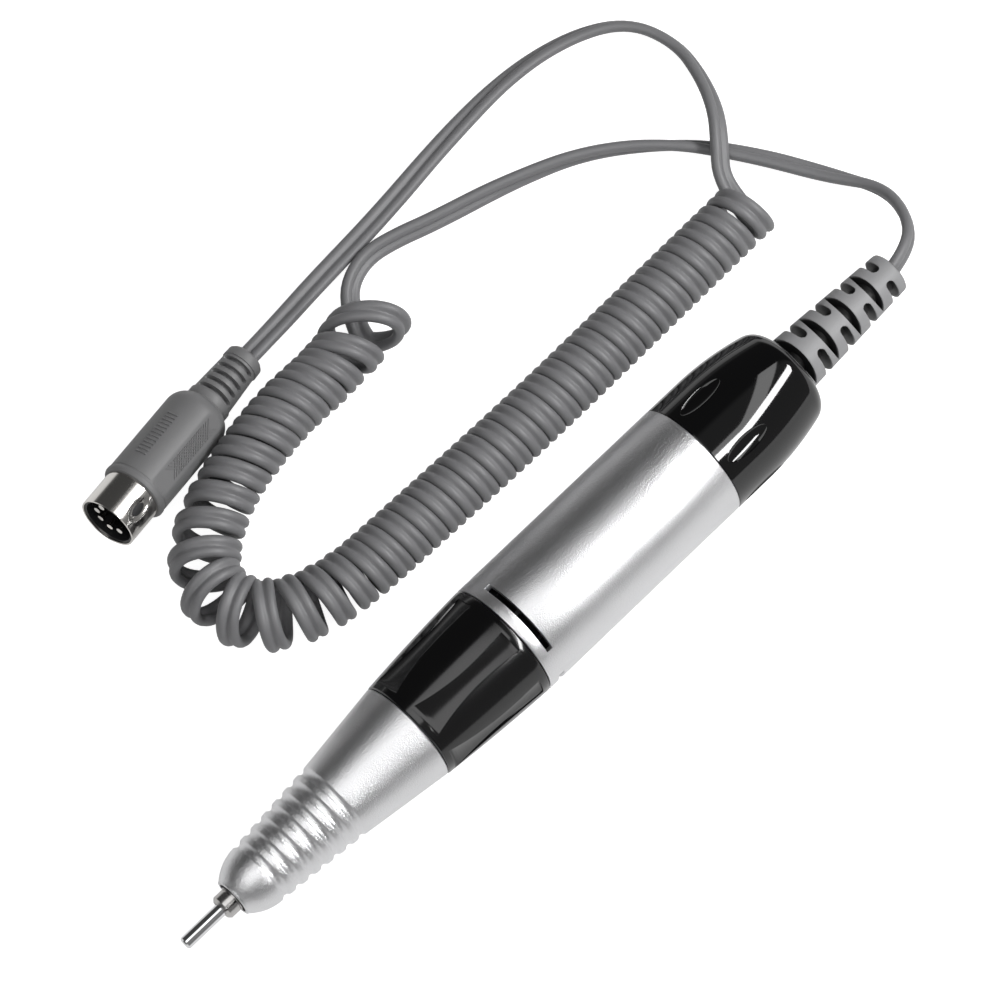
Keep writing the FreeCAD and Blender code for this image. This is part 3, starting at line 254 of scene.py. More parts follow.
def handlingGroup():
    # finger marks and light rubbing: a roughness that wanders around its middle value
    group, start, end = newGroup(
        "handlingMarks",
        [("Vector", "NodeSocketVector", (0, 0, 0)), ("Scale", "NodeSocketFloat", 90.0),
         ("Roughness", "NodeSocketFloat", 0.3), ("Amount", "NodeSocketFloat", 0.1)],
        [("Roughness", "NodeSocketFloat")])
    smear = noiseNode(group, start.outputs["Vector"], start.outputs["Scale"], 4.0, 0.6)
    swing = mathNode(group, "MULTIPLY", mathNode(group, "SUBTRACT", smear, 0.5),
                     start.outputs["Amount"])
    group.links.new(mathNode(group, "ADD", start.outputs["Roughness"], swing, True),
                    end.inputs["Roughness"])
    return group


def recessGroup():
    # painted shade mask: 0 deep inside the slots of a tapered round sleeve, 1 at its surface
    group, start, end = newGroup(
        "recessShade",
        [("Vector", "NodeSocketVector", (0, 0, 0)), ("Height", "NodeSocketFloat", 0.0),
         ("Front", "NodeSocketFloat", 0.0), ("Radius", "NodeSocketFloat", 0.006),
         ("Taper", "NodeSocketFloat", 0.05)],
        [("Mask", "NodeSocketFloat")])
    split = group.nodes.new("ShaderNodeSeparateXYZ")
    group.links.new(start.outputs["Vector"], split.inputs[0])
    rise = mathNode(group, "SUBTRACT", split.outputs["Z"], start.outputs["Height"])
    reach = mathNode(group, "SQRT", mathNode(
        group, "ADD", mathNode(group, "MULTIPLY", rise, rise),
        mathNode(group, "MULTIPLY", split.outputs["Y"], split.outputs["Y"])), 0.0)
    run = mathNode(group, "SUBTRACT", split.outputs["X"], start.outputs["Front"])
    edge = mathNode(group, "SUBTRACT", start.outputs["Radius"],
                    mathNode(group, "MULTIPLY", run, start.outputs["Taper"]))
    depth = mathNode(group, "SUBTRACT", edge, reach)
    deep = rampNode(group, depth, 0.0, 0.0007)
    group.links.new(mathNode(group, "SUBTRACT", 1.0, deep, True), end.inputs["Mask"])
    return group


unevenTone = shadeGroup()
recessShade = recessGroup()
fineGrain = grainGroup()
latheLines = latheGroup()
handlingMarks = handlingGroup()


def useGroup(tree, group, **values):
    node = tree.nodes.new("ShaderNodeGroup")
    node.node_tree = group
    for label, value in values.items():
        if isinstance(value, bpy.types.NodeSocket):
            tree.links.new(value, node.inputs[label])
        elif isinstance(value, tuple):
            node.inputs[label].default_value = (*value, 1)
        else:
            node.inputs[label].default_value = value
    return node


# Each finish: colour, metallic, roughness, then the scales and strengths of its surface detail.
finishes = {
    "blastedAluminium": {"color": (0.72, 0.72, 0.73), "metal": 1.0, "rough": 0.34, "smear": 0.05,
                         "tone": 0.05, "grain": 1.0, "fine": 3400.0, "coarse": 1500.0},
    "glossBlack": {"color": (0.0012, 0.0012, 0.0014), "metal": 0.0, "rough": 0.055, "smear": 0.03,
                   "tone": 0.1, "grain": 0.01, "fine": 5000.0, "coarse": 260.0, "ior": 1.6},
    "satinBlack": {"color": (0.0012, 0.0012, 0.0014), "metal": 0.0, "rough": 0.13, "smear": 0.06,
                   "tone": 0.1, "grain": 0.01, "fine": 5000.0, "coarse": 260.0, "ior": 1.6},
    "bootRubber": {"color": (0.245, 0.245, 0.25), "metal": 0.0, "rough": 0.5, "smear": 0.1,
                   "tone": 0.2, "grain": 0.35, "fine": 3200.0, "coarse": 1100.0,
                   # recess places the painted shade in the slots: front station, radius, taper
                   "recess": (178.2, 6.7, 0.056)},
    "cordSheath": {"color": (0.155, 0.155, 0.16), "metal": 0.0, "rough": 0.47, "smear": 0.12,
                   "tone": 0.12, "grain": 0.06, "fine": 4300.0, "coarse": 900.0},
    "plugMoulding": {"color": (0.15, 0.15, 0.152), "metal": 0.0, "rough": 0.5, "smear": 0.1,
                     "tone": 0.12, "grain": 0.14, "fine": 4200.0, "coarse": 1500.0},
    "nickelShell": {"color": (0.72, 0.70, 0.67), "metal": 1.0, "rough": 0.14, "smear": 0.08,
                    "tone": 0.05, "grain": 0.02, "fine": 3000.0, "coarse": 500.0, "lathe": 0.02},
    "chromePin": {"color": (0.78, 0.78, 0.79), "metal": 1.0, "rough": 0.09, "smear": 0.05,
                  "tone": 0.04, "grain": 0.0, "fine": 3000.0, "coarse": 500.0, "lathe": 0.05},
    "hardSteel": {"color": (0.50, 0.49, 0.48), "metal": 1.0, "rough": 0.24, "smear": 0.1,
                  "tone": 0.08, "grain": 0.02, "fine": 3000.0, "coarse": 600.0, "lathe": 0.10},
    "bearingSteel": {"color": (0.60, 0.60, 0.61), "metal": 1.0, "rough": 0.12, "smear": 0.05,
                     "tone": 0.04, "grain": 0.0, "fine": 3000.0, "coarse": 600.0, "lathe": 0.04},
    "turnedAluminium": {"color": (0.70, 0.70, 0.71), "metal": 1.0, "rough": 0.27, "smear": 0.08,
                        "tone": 0.05, "grain": 0.02, "fine": 2600.0, "coarse": 700.0,
                        "lathe": 0.15},
    "zincSteel": {"color": (0.55, 0.56, 0.58), "metal": 1.0, "rough": 0.34, "smear": 0.15,
                  "tone": 0.15, "grain": 0.05, "fine": 2600.0, "coarse": 450.0},
    "springSteel": {"color": (0.42, 0.41, 0.40), "metal": 1.0, "rough": 0.22, "smear": 0.08,
                    "tone": 0.08, "grain": 0.01, "fine": 3000.0, "coarse": 600.0},
    "brass": {"color": (0.72, 0.52, 0.24), "metal": 1.0, "rough": 0.24, "smear": 0.12,
              "tone": 0.12, "grain": 0.02, "fine": 2600.0, "coarse": 500.0, "lathe": 0.06},
    "enamelledCopper": {"color": (0.55, 0.20, 0.07), "metal": 0.9, "rough": 0.28, "smear": 0.1,
                        "tone": 0.25, "grain": 0.12, "fine": 2600.0, "coarse": 1600.0},
    "laminatedIron": {"color": (0.24, 0.24, 0.25), "metal": 0.9, "rough": 0.42, "smear": 0.1,
                      "tone": 0.15, "grain": 0.03, "fine": 2600.0, "coarse": 700.0, "lathe": 0.5},
    "ferrite": {"color": (0.045, 0.045, 0.05), "metal": 0.1, "rough": 0.62, "smear": 0.1,
                "tone": 0.3, "grain": 0.2, "fine": 3200.0, "coarse": 900.0},
    "carbon": {"color": (0.03, 0.03, 0.032), "metal": 0.2, "rough": 0.5, "smear": 0.15,
               "tone": 0.3, "grain": 0.15, "fine": 3600.0, "coarse": 1200.0},
    "insertBlack": {"color": (0.012, 0.012, 0.013), "metal": 0.0, "rough": 0.42, "smear": 0.1,
                    "tone": 0.2, "grain": 0.08, "fine": 3600.0, "coarse": 900.0},
    "sealRubber": {"color": (0.016, 0.016, 0.017), "metal": 0.0, "rough": 0.58, "smear": 0.12,
                   "tone": 0.3, "grain": 0.12, "fine": 3000.0, "coarse": 900.0},
    "wireJacket": {"color": (0.42, 0.03, 0.025), "metal": 0.0, "rough": 0.4, "smear": 0.08,
                   "tone": 0.12, "grain": 0.04, "fine": 3000.0, "coarse": 700.0},
    "capacitorBlue": {"color": (0.05, 0.14, 0.34), "metal": 0.0, "rough": 0.35, "smear": 0.08,
                      "tone": 0.15, "grain": 0.06, "fine": 3000.0, "coarse": 700.0},
}


def makeFinish(name, look):
    material = bpy.data.materials.new(name)
    material.use_nodes = True
    tree = material.node_tree
    shader = tree.nodes["Principled BSDF"]
    place = tree.nodes.new("ShaderNodeTexCoord").outputs["Object"]
    tone = useGroup(tree, unevenTone, Vector=place, Color=look["color"], Scale=110.0,
                    Amount=look["tone"])
    tree.links.new(tone.outputs["Color"], shader.inputs["Base Color"])
    if "recess" in look:
        deep = useGroup(tree, recessShade, Vector=place, Height=axisHeight,
                        Front=along(look["recess"][0]), Radius=look["recess"][1] * mm,
                        Taper=look["recess"][2])
        # painted shade: the base colour goes nearly black deep inside the slots, where shade falls
        slotShadeColour = tuple(part * 0.06 for part in look["color"])
        tree.links.new(mixNode(tree, deep.outputs["Mask"], slotShadeColour, tone.outputs["Color"]),
                       shader.inputs["Base Color"])
    marks = useGroup(tree, handlingMarks, Vector=place, Scale=120.0, Roughness=look["rough"],
                     Amount=look["smear"])
    tree.links.new(marks.outputs["Roughness"], shader.inputs["Roughness"])
    shader.inputs["Metallic"].default_value = look["metal"]
    shader.inputs["IOR"].default_value = look.get("ior", 1.5)
    grain = useGroup(tree, fineGrain, Vector=place, Scale=look["fine"], Coarse=look["coarse"])
    bump = tree.nodes.new("ShaderNodeBump")
    bump.inputs["Strength"].default_value = look["grain"]
    bump.inputs["Distance"].default_value = 0.00012
    tree.links.new(grain.outputs["Height"], bump.inputs["Height"])
    normal = bump.outputs["Normal"]
    if "lathe" in look:
        rings = useGroup(tree, latheLines, Vector=place, Scale=5200.0)
        second = tree.nodes.new("ShaderNodeBump")
        second.inputs["Strength"].default_value = look["lathe"]
        second.inputs["Distance"].default_value = 0.00008
        tree.links.new(rings.outputs["Height"], second.inputs["Height"])
        tree.links.new(normal, second.inputs["Normal"])
        normal = second.outputs["Normal"]
    tree.links.new(normal, shader.inputs["Normal"])
    return material


made = {name: makeFinish(name, look) for name, look in finishes.items()}
print(len(made), "finishes made")


def paint(piece, name):
    piece.data.materials.clear()
    piece.data.materials.append(made[name])
    return piece


nodeFinish = {
    "turnedAluminium": ["bearing_retainer", "housing_tube", "cam_sleeve", "bearing_spacer",
                        "motor_mount", "end_bell"],
    "hardSteel": ["spindle_shaft", "collet", "draw_rod", "cross_pin", "thrust_collar",
                  "spring_seat", "cam_pins", "motor_shaft"],
    "bearingSteel": ["front_bearing_outer_races", "front_bearing_inner_races",
                     "front_bearing_balls", "rear_bearing_outer_races",
                     "rear_bearing_inner_races", "rear_bearing_balls"],
    "brass": ["front_bearing_cages", "rear_bearing_cages", "brush_holders", "motor_bushes",
              "motor_terminals"],
    "zincSteel": ["motor_can", "mount_screws"],
    "springSteel": ["collet_spring", "brush_springs"],
    "enamelledCopper": ["armature_windings", "commutator"],
    "laminatedIron": ["armature_core"],
    "ferrite": ["motor_magnets"],
    "carbon": ["carbon_brushes"],
    "sealRubber": ["dust_seal"],
    "insertBlack": ["driven_coupling", "drive_coupling", "release_slider", "plug_insulator",
                    "cord_clamp", "cooling_fan"],
    "capacitorBlue": ["noise_capacitor"],
    "wireJacket": ["motor_wires"],
    "cordSheath": ["inner_cord"],
    "nickelShell": ["plug_contacts"],
}
for finishName, names in nodeFinish.items():
    for nodeName in names:
        paint(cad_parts[nodeName], finishName)
paint(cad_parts["chuck_pin"], "chromePin")


# Modelling helpers.
def onlyThis(piece):
    if bpy.context.mode != "OBJECT":
        bpy.ops.object.mode_set(mode="OBJECT")
    bpy.ops.object.select_all(action="DESELECT")
    piece.select_set(True)
    bpy.context.view_layer.objects.active = piece


def applyPlace(piece):
    onlyThis(piece)
    bpy.ops.object.transform_apply(location=True, rotation=True, scale=True)


def selectFaces(piece, test):
    mesh = bmesh.from_edit_mesh(piece.data)
    for item in list(mesh.verts) + list(mesh.edges) + list(mesh.faces):
        item.select = False
    for face in mesh.faces:
        if test(face.calc_center_median(), face.normal):
            face.select = True
    mesh.select_flush_mode()
    bmesh.update_edit_mesh(piece.data)


def outlineArc(start, end, radius, steps):
    # corners on a circle of that radius from start to end, bulging away from the axis
    a, b = Vector(start), Vector(end)
    chord = b - a
    side = Vector((-chord.y, chord.x)).normalized()
    rise = math.sqrt(radius ** 2 - (chord.length / 2) ** 2)
    centre = (a + b) / 2 - side * rise
    first = math.atan2(a.y - centre.y, a.x - centre.x)
    last = math.atan2(b.y - centre.y, b.x - centre.x)
    spots = []
    for i in range(1, steps + 1):
        angle = first + (last - first) * i / steps
        spots.append((centre.x + radius * math.cos(angle), centre.y + radius * math.sin(angle)))
    return spots


def turnedPiece(name, outline, rings=128, frameOf=None):
    # a circle is extruded from corner to corner of the outline, and closed on itself
    matrix = frameOf or Matrix.Translation((pinTip, 0, axisHeight))
    quarter = Matrix.Rotation(math.pi / 2, 4, "Y")
    bpy.ops.object.select_all(action="DESELECT")
    first = outline[0]
    bpy.ops.mesh.primitive_circle_add(vertices=rings, radius=first[1] * mm)
    piece = bpy.context.object
    piece.name = name
    piece.data.name = name
    piece.data.transform(Matrix.Translation((first[0] * mm, 0, 0)) @ quarter)
    onlyThis(piece)
    bpy.ops.object.mode_set(mode="EDIT")
    bpy.ops.mesh.select_all(action="SELECT")
    radius = first[1]
    station = first[0]
    for nextStation, nextRadius in outline[1:] + [first]:
        bpy.ops.mesh.extrude_edges_move(
            TRANSFORM_OT_translate={"value": ((nextStation - station) * mm, 0, 0)})
        share = max(nextRadius, 1e-5) / radius
        bpy.ops.transform.resize(value=(1, share, share), center_override=(0, 0, 0))
        station, radius = nextStation, max(nextRadius, 1e-5)
    bpy.ops.mesh.select_all(action="SELECT")
    bpy.ops.mesh.remove_doubles(threshold=2e-7)
    bpy.ops.mesh.normals_make_consistent(inside=False)
    bpy.ops.object.mode_set(mode="OBJECT")
    piece.data.transform(matrix)
    return piece


def smooth(piece, angle=28):
    onlyThis(piece)
    bpy.ops.object.shade_smooth_by_angle(angle=math.radians(angle))


def bevelEdges(piece, width, segments=2, angle=30):
    onlyThis(piece)
    bevel = piece.modifiers.new("edges", "BEVEL")
    bevel.width = width * mm
    bevel.segments = segments
    bevel.limit_method = "ANGLE"
    bevel.angle_limit = math.radians(angle)
    bevel.harden_normals = False
    bpy.ops.object.modifier_apply(modifier=bevel.name)


def carve(piece, cutter, name="carve"):
    onlyThis(piece)
    tool = piece.modifiers.new(name, "BOOLEAN")
    tool.operation = "DIFFERENCE"
    tool.solver = "EXACT"
    tool.object = cutter
    bpy.ops.object.modifier_apply(modifier=tool.name)
    bpy.data.objects.remove(cutter)


def joinAll(pieces):
    onlyThis(pieces[0])
    for piece in pieces[1:]:
        piece.select_set(True)
    bpy.ops.object.join()
    return pieces[0]


def copyTurned(piece, angle):
    # a copy with its own mesh, turned about the handpiece's axis
    onlyThis(piece)
    bpy.ops.object.duplicate()
    twin = bpy.context.object
    centre = Matrix.Translation((0, 0, axisHeight))
    twin.data.transform(centre @ Matrix.Rotation(math.radians(angle), 4, "X") @ centre.inverted())
    return twin


def settle(piece, body, finish, slotName, *nodes):
    paint(piece, finish)
    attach(piece, body)
    if nodes:
        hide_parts(*nodes)
    return piece


# Cord: two loose ends and the coil between them, one spline.
cord = {
    "lobe": 1.225,
    "turnPoints": 16,
    "lead": [
        (104.75, 0.0, 14.0), (112.0, 1.2, 13.4), (118.2, 7.5, 9.6), (120.6, 16.5, 5.4),
        (115.6, 27.0, 2.6), (107.8, 41.5, 2.45), (97.6, 56.0, 2.45), (82.5, 68.5, 2.45),
        (65.0, 75.6, 2.45), (47.0, 80.6, 2.45), (38.5, 83.6, 2.45), (31.0, 85.2, 2.45),
        (24.3, 83.4, 2.4), (20.2, 79.4, 2.3)],
    "coilLine": [
        (20.9, 72.2, 8.9), (12.1, 70.8, 8.8), (2.2, 69.9, 9.2), (-7.3, 70.1, 9.7),
        (-18.8, 68.6, 9.6), (-28.0, 66.8, 8.6), (-36.7, 63.4, 8.0), (-43.4, 58.6, 8.0),
        (-46.7, 53.1, 8.0), (-46.3, 45.8, 8.0), (-42.2, 39.8, 8.0), (-35.7, 36.2, 7.6),
        (-28.6, 34.4, 7.3), (-21.5, 33.6, 7.2), (-14.3, 33.3, 7.2), (26.3, 32.4, 7.2),
        (60.0, 32.9, 7.2), (92.6, 33.4, 7.2)],
    "tail": [
        (97.5, 43.0, 4.2), (102.0, 48.0, 6.9), (107.2, 54.0, 6.9), (111.6, 62.4, 4.4),
        (114.2, 72.6, 2.5), (110.6, 83.6, 2.45), (99.8, 90.2, 2.45), (83.5, 93.5, 2.45),
        (63.0, 92.6, 2.45), (40.0, 89.8, 2.45), (19.0, 88.4, 2.6), (6.6, 87.1, 3.0)],
}


def smoothLine(points, steps):
    # the points a curve passes, read from a NURBS spline of order 3
    curve = bpy.data.curves.new("line", "CURVE")
    curve.dimensions = "3D"
    curve.resolution_u = steps
    spline = curve.splines.new("NURBS")
    spline.points.add(len(points) - 1)
    for spot, point in zip(spline.points, points):
        spot.co = (*point, 1)
    spline.order_u = 3
    spline.use_endpoint_u = True
    holder = bpy.data.objects.new("line", curve)
    bpy.context.scene.collection.objects.link(holder)
    mesh = bpy.data.meshes.new_from_object(holder)
    spots = [vertex.co.copy() for vertex in mesh.vertices]
    bpy.data.objects.remove(holder)
    bpy.data.curves.remove(curve)
    bpy.data.meshes.remove(mesh)
    return spots


def lengths(spots):
    runs = [0.0]
    for before, after in zip(spots, spots[1:]):
        runs.append(runs[-1] + (after - before).length)
    return runs


def walk(spots, runs, distance):
    # the place and direction at a distance along a line
    low, high = 0, len(runs) - 1
    while high - low > 1:
        middle = (low + high) // 2
        if runs[middle] <= distance:
            low = middle
        else:
            high = middle
    span = max(runs[high] - runs[low], 1e-12)
    share = min(max((distance - runs[low]) / span, 0), 1)
    place = spots[low].lerp(spots[high], share)
    before = spots[max(low - 2, 0)]
    after = spots[min(high + 2, len(spots) - 1)]
    return place, (after - before).normalized()


up = Vector((0, 0, 1))


def between(table, value):
    # a number read off a table of (value, number) pairs, straight between its rows
    if value <= table[0][0]:
        return table[0][1]
    for (x0, y0), (x1, y1) in zip(table, table[1:]):
        if value <= x1:
            return y0 + (y1 - y0) * (value - x0) / (x1 - x0)
    return table[-1][1]


def makeCord():
    line = [point * mm for point in smoothLine([Vector(p) for p in cord["coilLine"]], 24)]
    runs = lengths(line)
    total = runs[-1]
    # how far the coil's line moves on in one turn, and how wide the turn is, along the line
    pitch = [(0.0, 9.0), (8.0, 7.0), (14.0, 5.2), (19.0, 4.9), (45.0, 5.2), (61.0, 6.9),
             (91.0, 6.9), (103.0, 5.6), (111.0, 4.9), (total / mm - 6.0, 4.9), (total / mm, 6.0)]
    wide = [(0.0, 6.6), (6.0, 6.5), (14.0, 5.93), (48.0, 5.93), (63.0, 6.6), (88.0, 6.6),
            (108.0, 5.93), (total / mm, 5.93)]
    leanAt = [(0.0, 30.0), (9.0, 16.0), (16.0, 10.0), (43.0, 8.0), (63.0, 0.0), (total / mm, 0.0)]
    # the coil's first turn is tipped open, its top leaning out towards the handpiece's cord end
    tipAt = [(0.0, 33.0), (6.0, 16.0), (12.0, 0.0), (total / mm, 0.0)]
    controls = [Vector(p) * mm for p in cord["lead"]]
    helixFrom = len(controls)
    phi = -90.0
    distance = 0.0
    step = 360.0 / cord["turnPoints"]
    grow = 1 / 0.981
    turns = []
    while distance <= total or (phi + 90) % 360 > step / 2:
        place, tangent = walk(line, runs, min(distance, total))
        if distance > total:
            place = place + tangent * (distance - total)
        side = up.cross(tangent).normalized()
        top = tangent.cross(side)
        radius = between(wide, distance / mm) * mm * grow
        lean = math.tan(math.radians(between(leanAt, distance / mm)))
        spot = place + side * radius * math.cos(math.radians(phi))
        spot += top * radius * math.sin(math.radians(phi))
        spot -= tangent * lean * radius * math.cos(math.radians(phi))
        tip = math.tan(math.radians(between(tipAt, distance / mm)))
        spot -= tangent * tip * radius * math.sin(math.radians(phi))
        spot.z = max(spot.z, 1.3 * mm)
        controls.append(spot)
        turns.append(distance)
        phi += step
        distance += between(pitch, distance / mm) * mm / cord["turnPoints"]
    helixTo = len(controls)
    controls += [Vector(p) * mm for p in cord["tail"]]
    controls.append(plugTail)
    print("coil turns", round((helixTo - helixFrom) / cord["turnPoints"], 1))

    path = smoothLine(controls, 12)
    pathRuns = lengths(path)
    # the spline's own counter tells which stretch is coil: 12 steps for each control point
    share = (len(path) - 1) / (len(controls) - 2)
    coilFrom = pathRuns[int((helixFrom - 1) * share)]
    coilTo = pathRuns[min(int((helixTo - 1) * share), len(path) - 1)]
    length = pathRuns[-1]
    print("cord length", round(length, 3), "coil from", round(coilFrom, 3), "to", round(coilTo, 3))

    # roll of the flat twin section: 0 lies flat on the table, 90 stands on its edge
    rollIn = [(0, 78), (18, 76), (28, 75), (33, 60), (38, 45), (43, 36), (50, 33), (62, 42),
              (70, 60), (80, 80), (95, 90), (108, 105), (120, 120), (140, 122), (153, 128),
              (164, 165)]
    rollOut = [(0, 10), (6, 40), (20, 48), (30, 60), (42, 68), (52, 66), (64, 56), (76, 50),
               (84, 40), (102, 15), (118, 4), (150, 2), (175, 20)]
    spots, rolls = [], []
    distance = 0.0
    while distance < length - 0.5 * mm:
        place, tangent = walk(path, pathRuns, distance)
        flat = up.cross(tangent)
        flat = flat.normalized() if flat.length > 1e-6 else Vector((0, 1, 0))
        high = tangent.cross(flat)
        if distance < coilFrom:
            roll = math.radians(between(rollIn, distance / mm))
            width = flat * math.cos(roll) + high * math.sin(roll)
            stride = 1.5
        elif distance < coilTo:
            part = (distance - coilFrom) / (coilTo - coilFrom)
            index = min(int(part * len(turns)), len(turns) - 1)
            _, axis = walk(line, runs, min(turns[index], total))
            width = axis
            stride = 0.95
        else:
            roll = math.radians(between(rollOut, (distance - coilTo) / mm))
            width = flat * math.cos(roll) + high * math.sin(roll)
            stride = 1.5
        width = (width - tangent * width.dot(tangent)).normalized()
        spots.append((place, tangent))
        rolls.append(width)
        distance += stride * mm
    place, tangent = walk(path, pathRuns, length)
    spots.append((place, tangent))
    rolls.append(rolls[-1])
    for i in range(1, len(rolls)):
        if rolls[i].dot(rolls[i - 1]) < 0:
            rolls[i] = -rolls[i]
    # the roll's changes are spread along the cord
    for _ in range(6):
        rolls = [rolls[max(i - 1, 0)] * 0.5 + rolls[i] + rolls[min(i + 1, len(rolls) - 1)] * 0.5
                 for i in range(len(rolls))]
        rolls = [(roll - spot[1] * roll.dot(spot[1])).normalized()
                 for roll, spot in zip(rolls, spots)]
    # nothing goes under the table: a low stretch is lifted until it rests on it
    lobe = cord["lobe"] * mm
    lifts = []
    for (place, tangent), width in zip(spots, rolls):
        low = place.z - lobe * (1 + abs(width.z)) - 0.02 * mm
        lifts.append(max(-low, 0))
    for _ in range(3):
        lifts = [max(lifts[i], (lifts[max(i - 1, 0)] + lifts[min(i + 1, len(lifts) - 1)]) / 2)
                 for i in range(len(lifts))]
    spots = [(place + up * lift, tangent) for (place, tangent), lift in zip(spots, lifts)]
    section = []
    for centre, start in ((1, -150), (-1, 30)):
        for i in range(12):
            angle = math.radians(start + 300 * i / 11)
            section.append((centre * lobe + lobe * math.cos(angle), lobe * math.sin(angle)))
    vertices, faces = [], []
    count = len(section)
    for (place, tangent), width in zip(spots, rolls):
        thick = tangent.cross(width)
        for x, y in section:
            vertices.append(place + width * x + thick * y)
    for ring in range(len(spots) - 1):
        for i in range(count):
            j = (i + 1) % count
            a = ring * count
            faces.append((a + i, a + j, a + count + j, a + count + i))
    faces.append(tuple(range(count))[::-1])
    last = (len(spots) - 1) * count
    faces.append(tuple(range(last, last + count)))
    mesh = bpy.data.meshes.new("curlyCord")
    mesh.from_pydata(vertices, [], faces)
    mesh.validate()
    piece = bpy.data.objects.new("curlyCord", mesh)
    bpy.context.scene.collection.objects.link(piece)
    smooth(piece, 50)
    settle(piece, "handpiece", "cordSheath", "grey_cord", "cord_lead_handpiece",
           "cord_coil_long", "cord_coil_bend", "cord_coil_short", "cord_lead_plug")
    return piece, [place for place, tangent in spots], length


# Plug: its own X runs from the shell's mouth to the cord.
plugPlace = {"mouth": (-53.0, 77.4, 13.25), "yaw": 10, "pitch": 10, "length": 50.0}
plugMouth = Vector(plugPlace["mouth"]) * mm
plugMatrix = (Matrix.Translation(plugMouth)
              @ Matrix.Rotation(math.radians(plugPlace["yaw"]), 4, "Z")
              @ Matrix.Rotation(math.radians(plugPlace["pitch"]), 4, "Y"))
plugTail = plugMatrix @ Vector((plugPlace["length"] * mm, 0, 0))

curlyCord, cordPath, cordLength = makeCord()
print("cord made")


# Nose shell.
nose = {"lip": 4.3, "face": 4.6, "dome": 11.0, "domeBack": 20.5, "shoulder": 7.38,
        "coneFront": 43.8, "cone": 9.43, "back": 12.05, "grooves": 7, "firstGroove": 22.1,
        "groovePitch": 3.34}
grooveShape = [(-1.25, 0), (-1.1, 0.02), (-0.96, 0.09), (-0.8, 0.24), (-0.55, 0.46),
               (-0.28, 0.57), (0, 0.6)]
grooveShape += [(-x, depth) for x, depth in grooveShape[-2::-1]]


def makeNose():
    outline = [(mouth, nose["lip"])]
    outline += outlineArc((mouth, nose["lip"]), (mouth + 0.3, nose["face"]), 0.3, 3)
    outline += outlineArc(outline[-1], (nose["domeBack"], nose["shoulder"]), nose["dome"], 14)
    slope = (nose["cone"] - nose["shoulder"]) / (nose["coneFront"] - nose["domeBack"])
    for i in range(nose["grooves"]):
        centre = nose["firstGroove"] + i * nose["groovePitch"]
        for shift, depth in grooveShape:
            rise = (centre + shift - nose["domeBack"]) * slope
            outline.append((centre + shift, nose["shoulder"] + rise - depth))
    outline += [(nose["coneFront"], nose["cone"]), (54.0, 10.74), (noseBack - 0.2, 12.0),
                (noseBack, 11.85)]
    # inside: housing thread, retainer, bearing seats, seal pocket
    outline += [(noseBack, 10.0), (59.5, 10.0), (59.5, 8.0), (56.8, 8.0), (56.8, 6.5),
                (51.8, 6.5), (51.8, 6.08), (27.05, 6.08), (18.9, 6.0), (18.9, 4.7),
                (16.4, 4.7), (16.4, 3.75), (mouth, 3.75)]
    shell = turnedPiece("noseShell", outline, 160)
    smooth(shell, 32)
    return settle(shell, "handpiece", "blastedAluminium", "aluminium", "nose_cone")


makeNose()
print("nose made")

# Twist ring: a bulged cone with six flat-floored hollows.
ring = {"front": 12.12, "back": 14.0, "turn": 17, "hollows": 6,
        "hollow": [(90.3, 5.2, 0.52), (86.5, 4.6, 0.55), (82.5, 4.1, 0.57), (78.0, 4.1, 0.58),
                   (73.5, 5.0, 0.6), (69.5, 6.3, 0.62), (66.0, 8.0, 0.64)]}


def ringRadius(station):
    share = (station - noseBack) / (barrelFront - noseBack)
    return ring["front"] + (ring["back"] - ring["front"]) * share + 0.8 * share * (1 - share)


def makeHollowCutter():
    first = ring["hollow"][0]
    tall = 3.0
    floorHeight = ringRadius(first[0]) - first[2]
    centre = (along(first[0]), 0, axisHeight + (floorHeight + tall / 2) * mm)
    bpy.ops.object.select_all(action="DESELECT")
    bpy.ops.mesh.primitive_plane_add(size=mm, location=centre,
                                     rotation=(0, math.pi / 2, 0))
    cutter = bpy.context.object
    applyPlace(cutter)
    bpy.ops.object.mode_set(mode="EDIT")
    bpy.ops.mesh.select_all(action="SELECT")
    bpy.ops.transform.resize(value=(1, first[1], tall), center_override=centre)
    station, width, low = first[0], first[1], floorHeight
    rows = smoothLine([Vector(row) for row in ring["hollow"]], 6)
    for nextStation, nextWidth, depth in rows[1:]:
        nextLow = ringRadius(nextStation) - depth
        bpy.ops.mesh.extrude_region_move(TRANSFORM_OT_translate={
            "value": ((nextStation - station) * mm, 0, (nextLow - low) * mm)})
        spot = (along(nextStation), 0, axisHeight + nextLow * mm)
        bpy.ops.transform.resize(value=(1, nextWidth / width, 1), center_override=spot)
        station, width, low = nextStation, nextWidth, nextLow
    bpy.ops.mesh.select_all(action="SELECT")
    bpy.ops.mesh.normals_make_consistent(inside=False)
    bpy.ops.object.mode_set(mode="OBJECT")
    return cutter


def makeRing():
    front, back = noseBack + 0.15, barrelFront - 0.15
    outline = [(front, 11.85), (front + 0.1, 12.02)]
    for i in range(25):
        station = front + 0.3 + (back - front - 0.6) * i / 24
        outline.append((station, ringRadius(station)))
    outline += [(back - 0.1, 13.9), (back, 13.7), (back, 11.5), (noseBack + 7.2, 11.5),
                (noseBack + 7.2, 10.04), (front, 10.04)]
    sleeve = turnedPiece("twistRingShell", outline, 144)
    first = makeHollowCutter()
    cutters = [copyTurned(first, ring["turn"] + i * 360 / ring["hollows"])
               for i in range(ring["hollows"])]
    bpy.data.objects.remove(first)
    carve(sleeve, joinAll(cutters))
    bevelEdges(sleeve, 0.16, 3, 35)
    smooth(sleeve, 30)
    return settle(sleeve, "twist_ring", "satinBlack", "black_plastic", "twist_ring")


makeRing()
print("twist ring made")

# Barrel with three cooling slots.
barrel = {"radius": 14.0, "bore": 12.6, "slotFront": 94.95, "slotBack": 96.45, "slots": 3,
          "slotAngle": 84, "slotTurn": 5.5, "facets": 180}


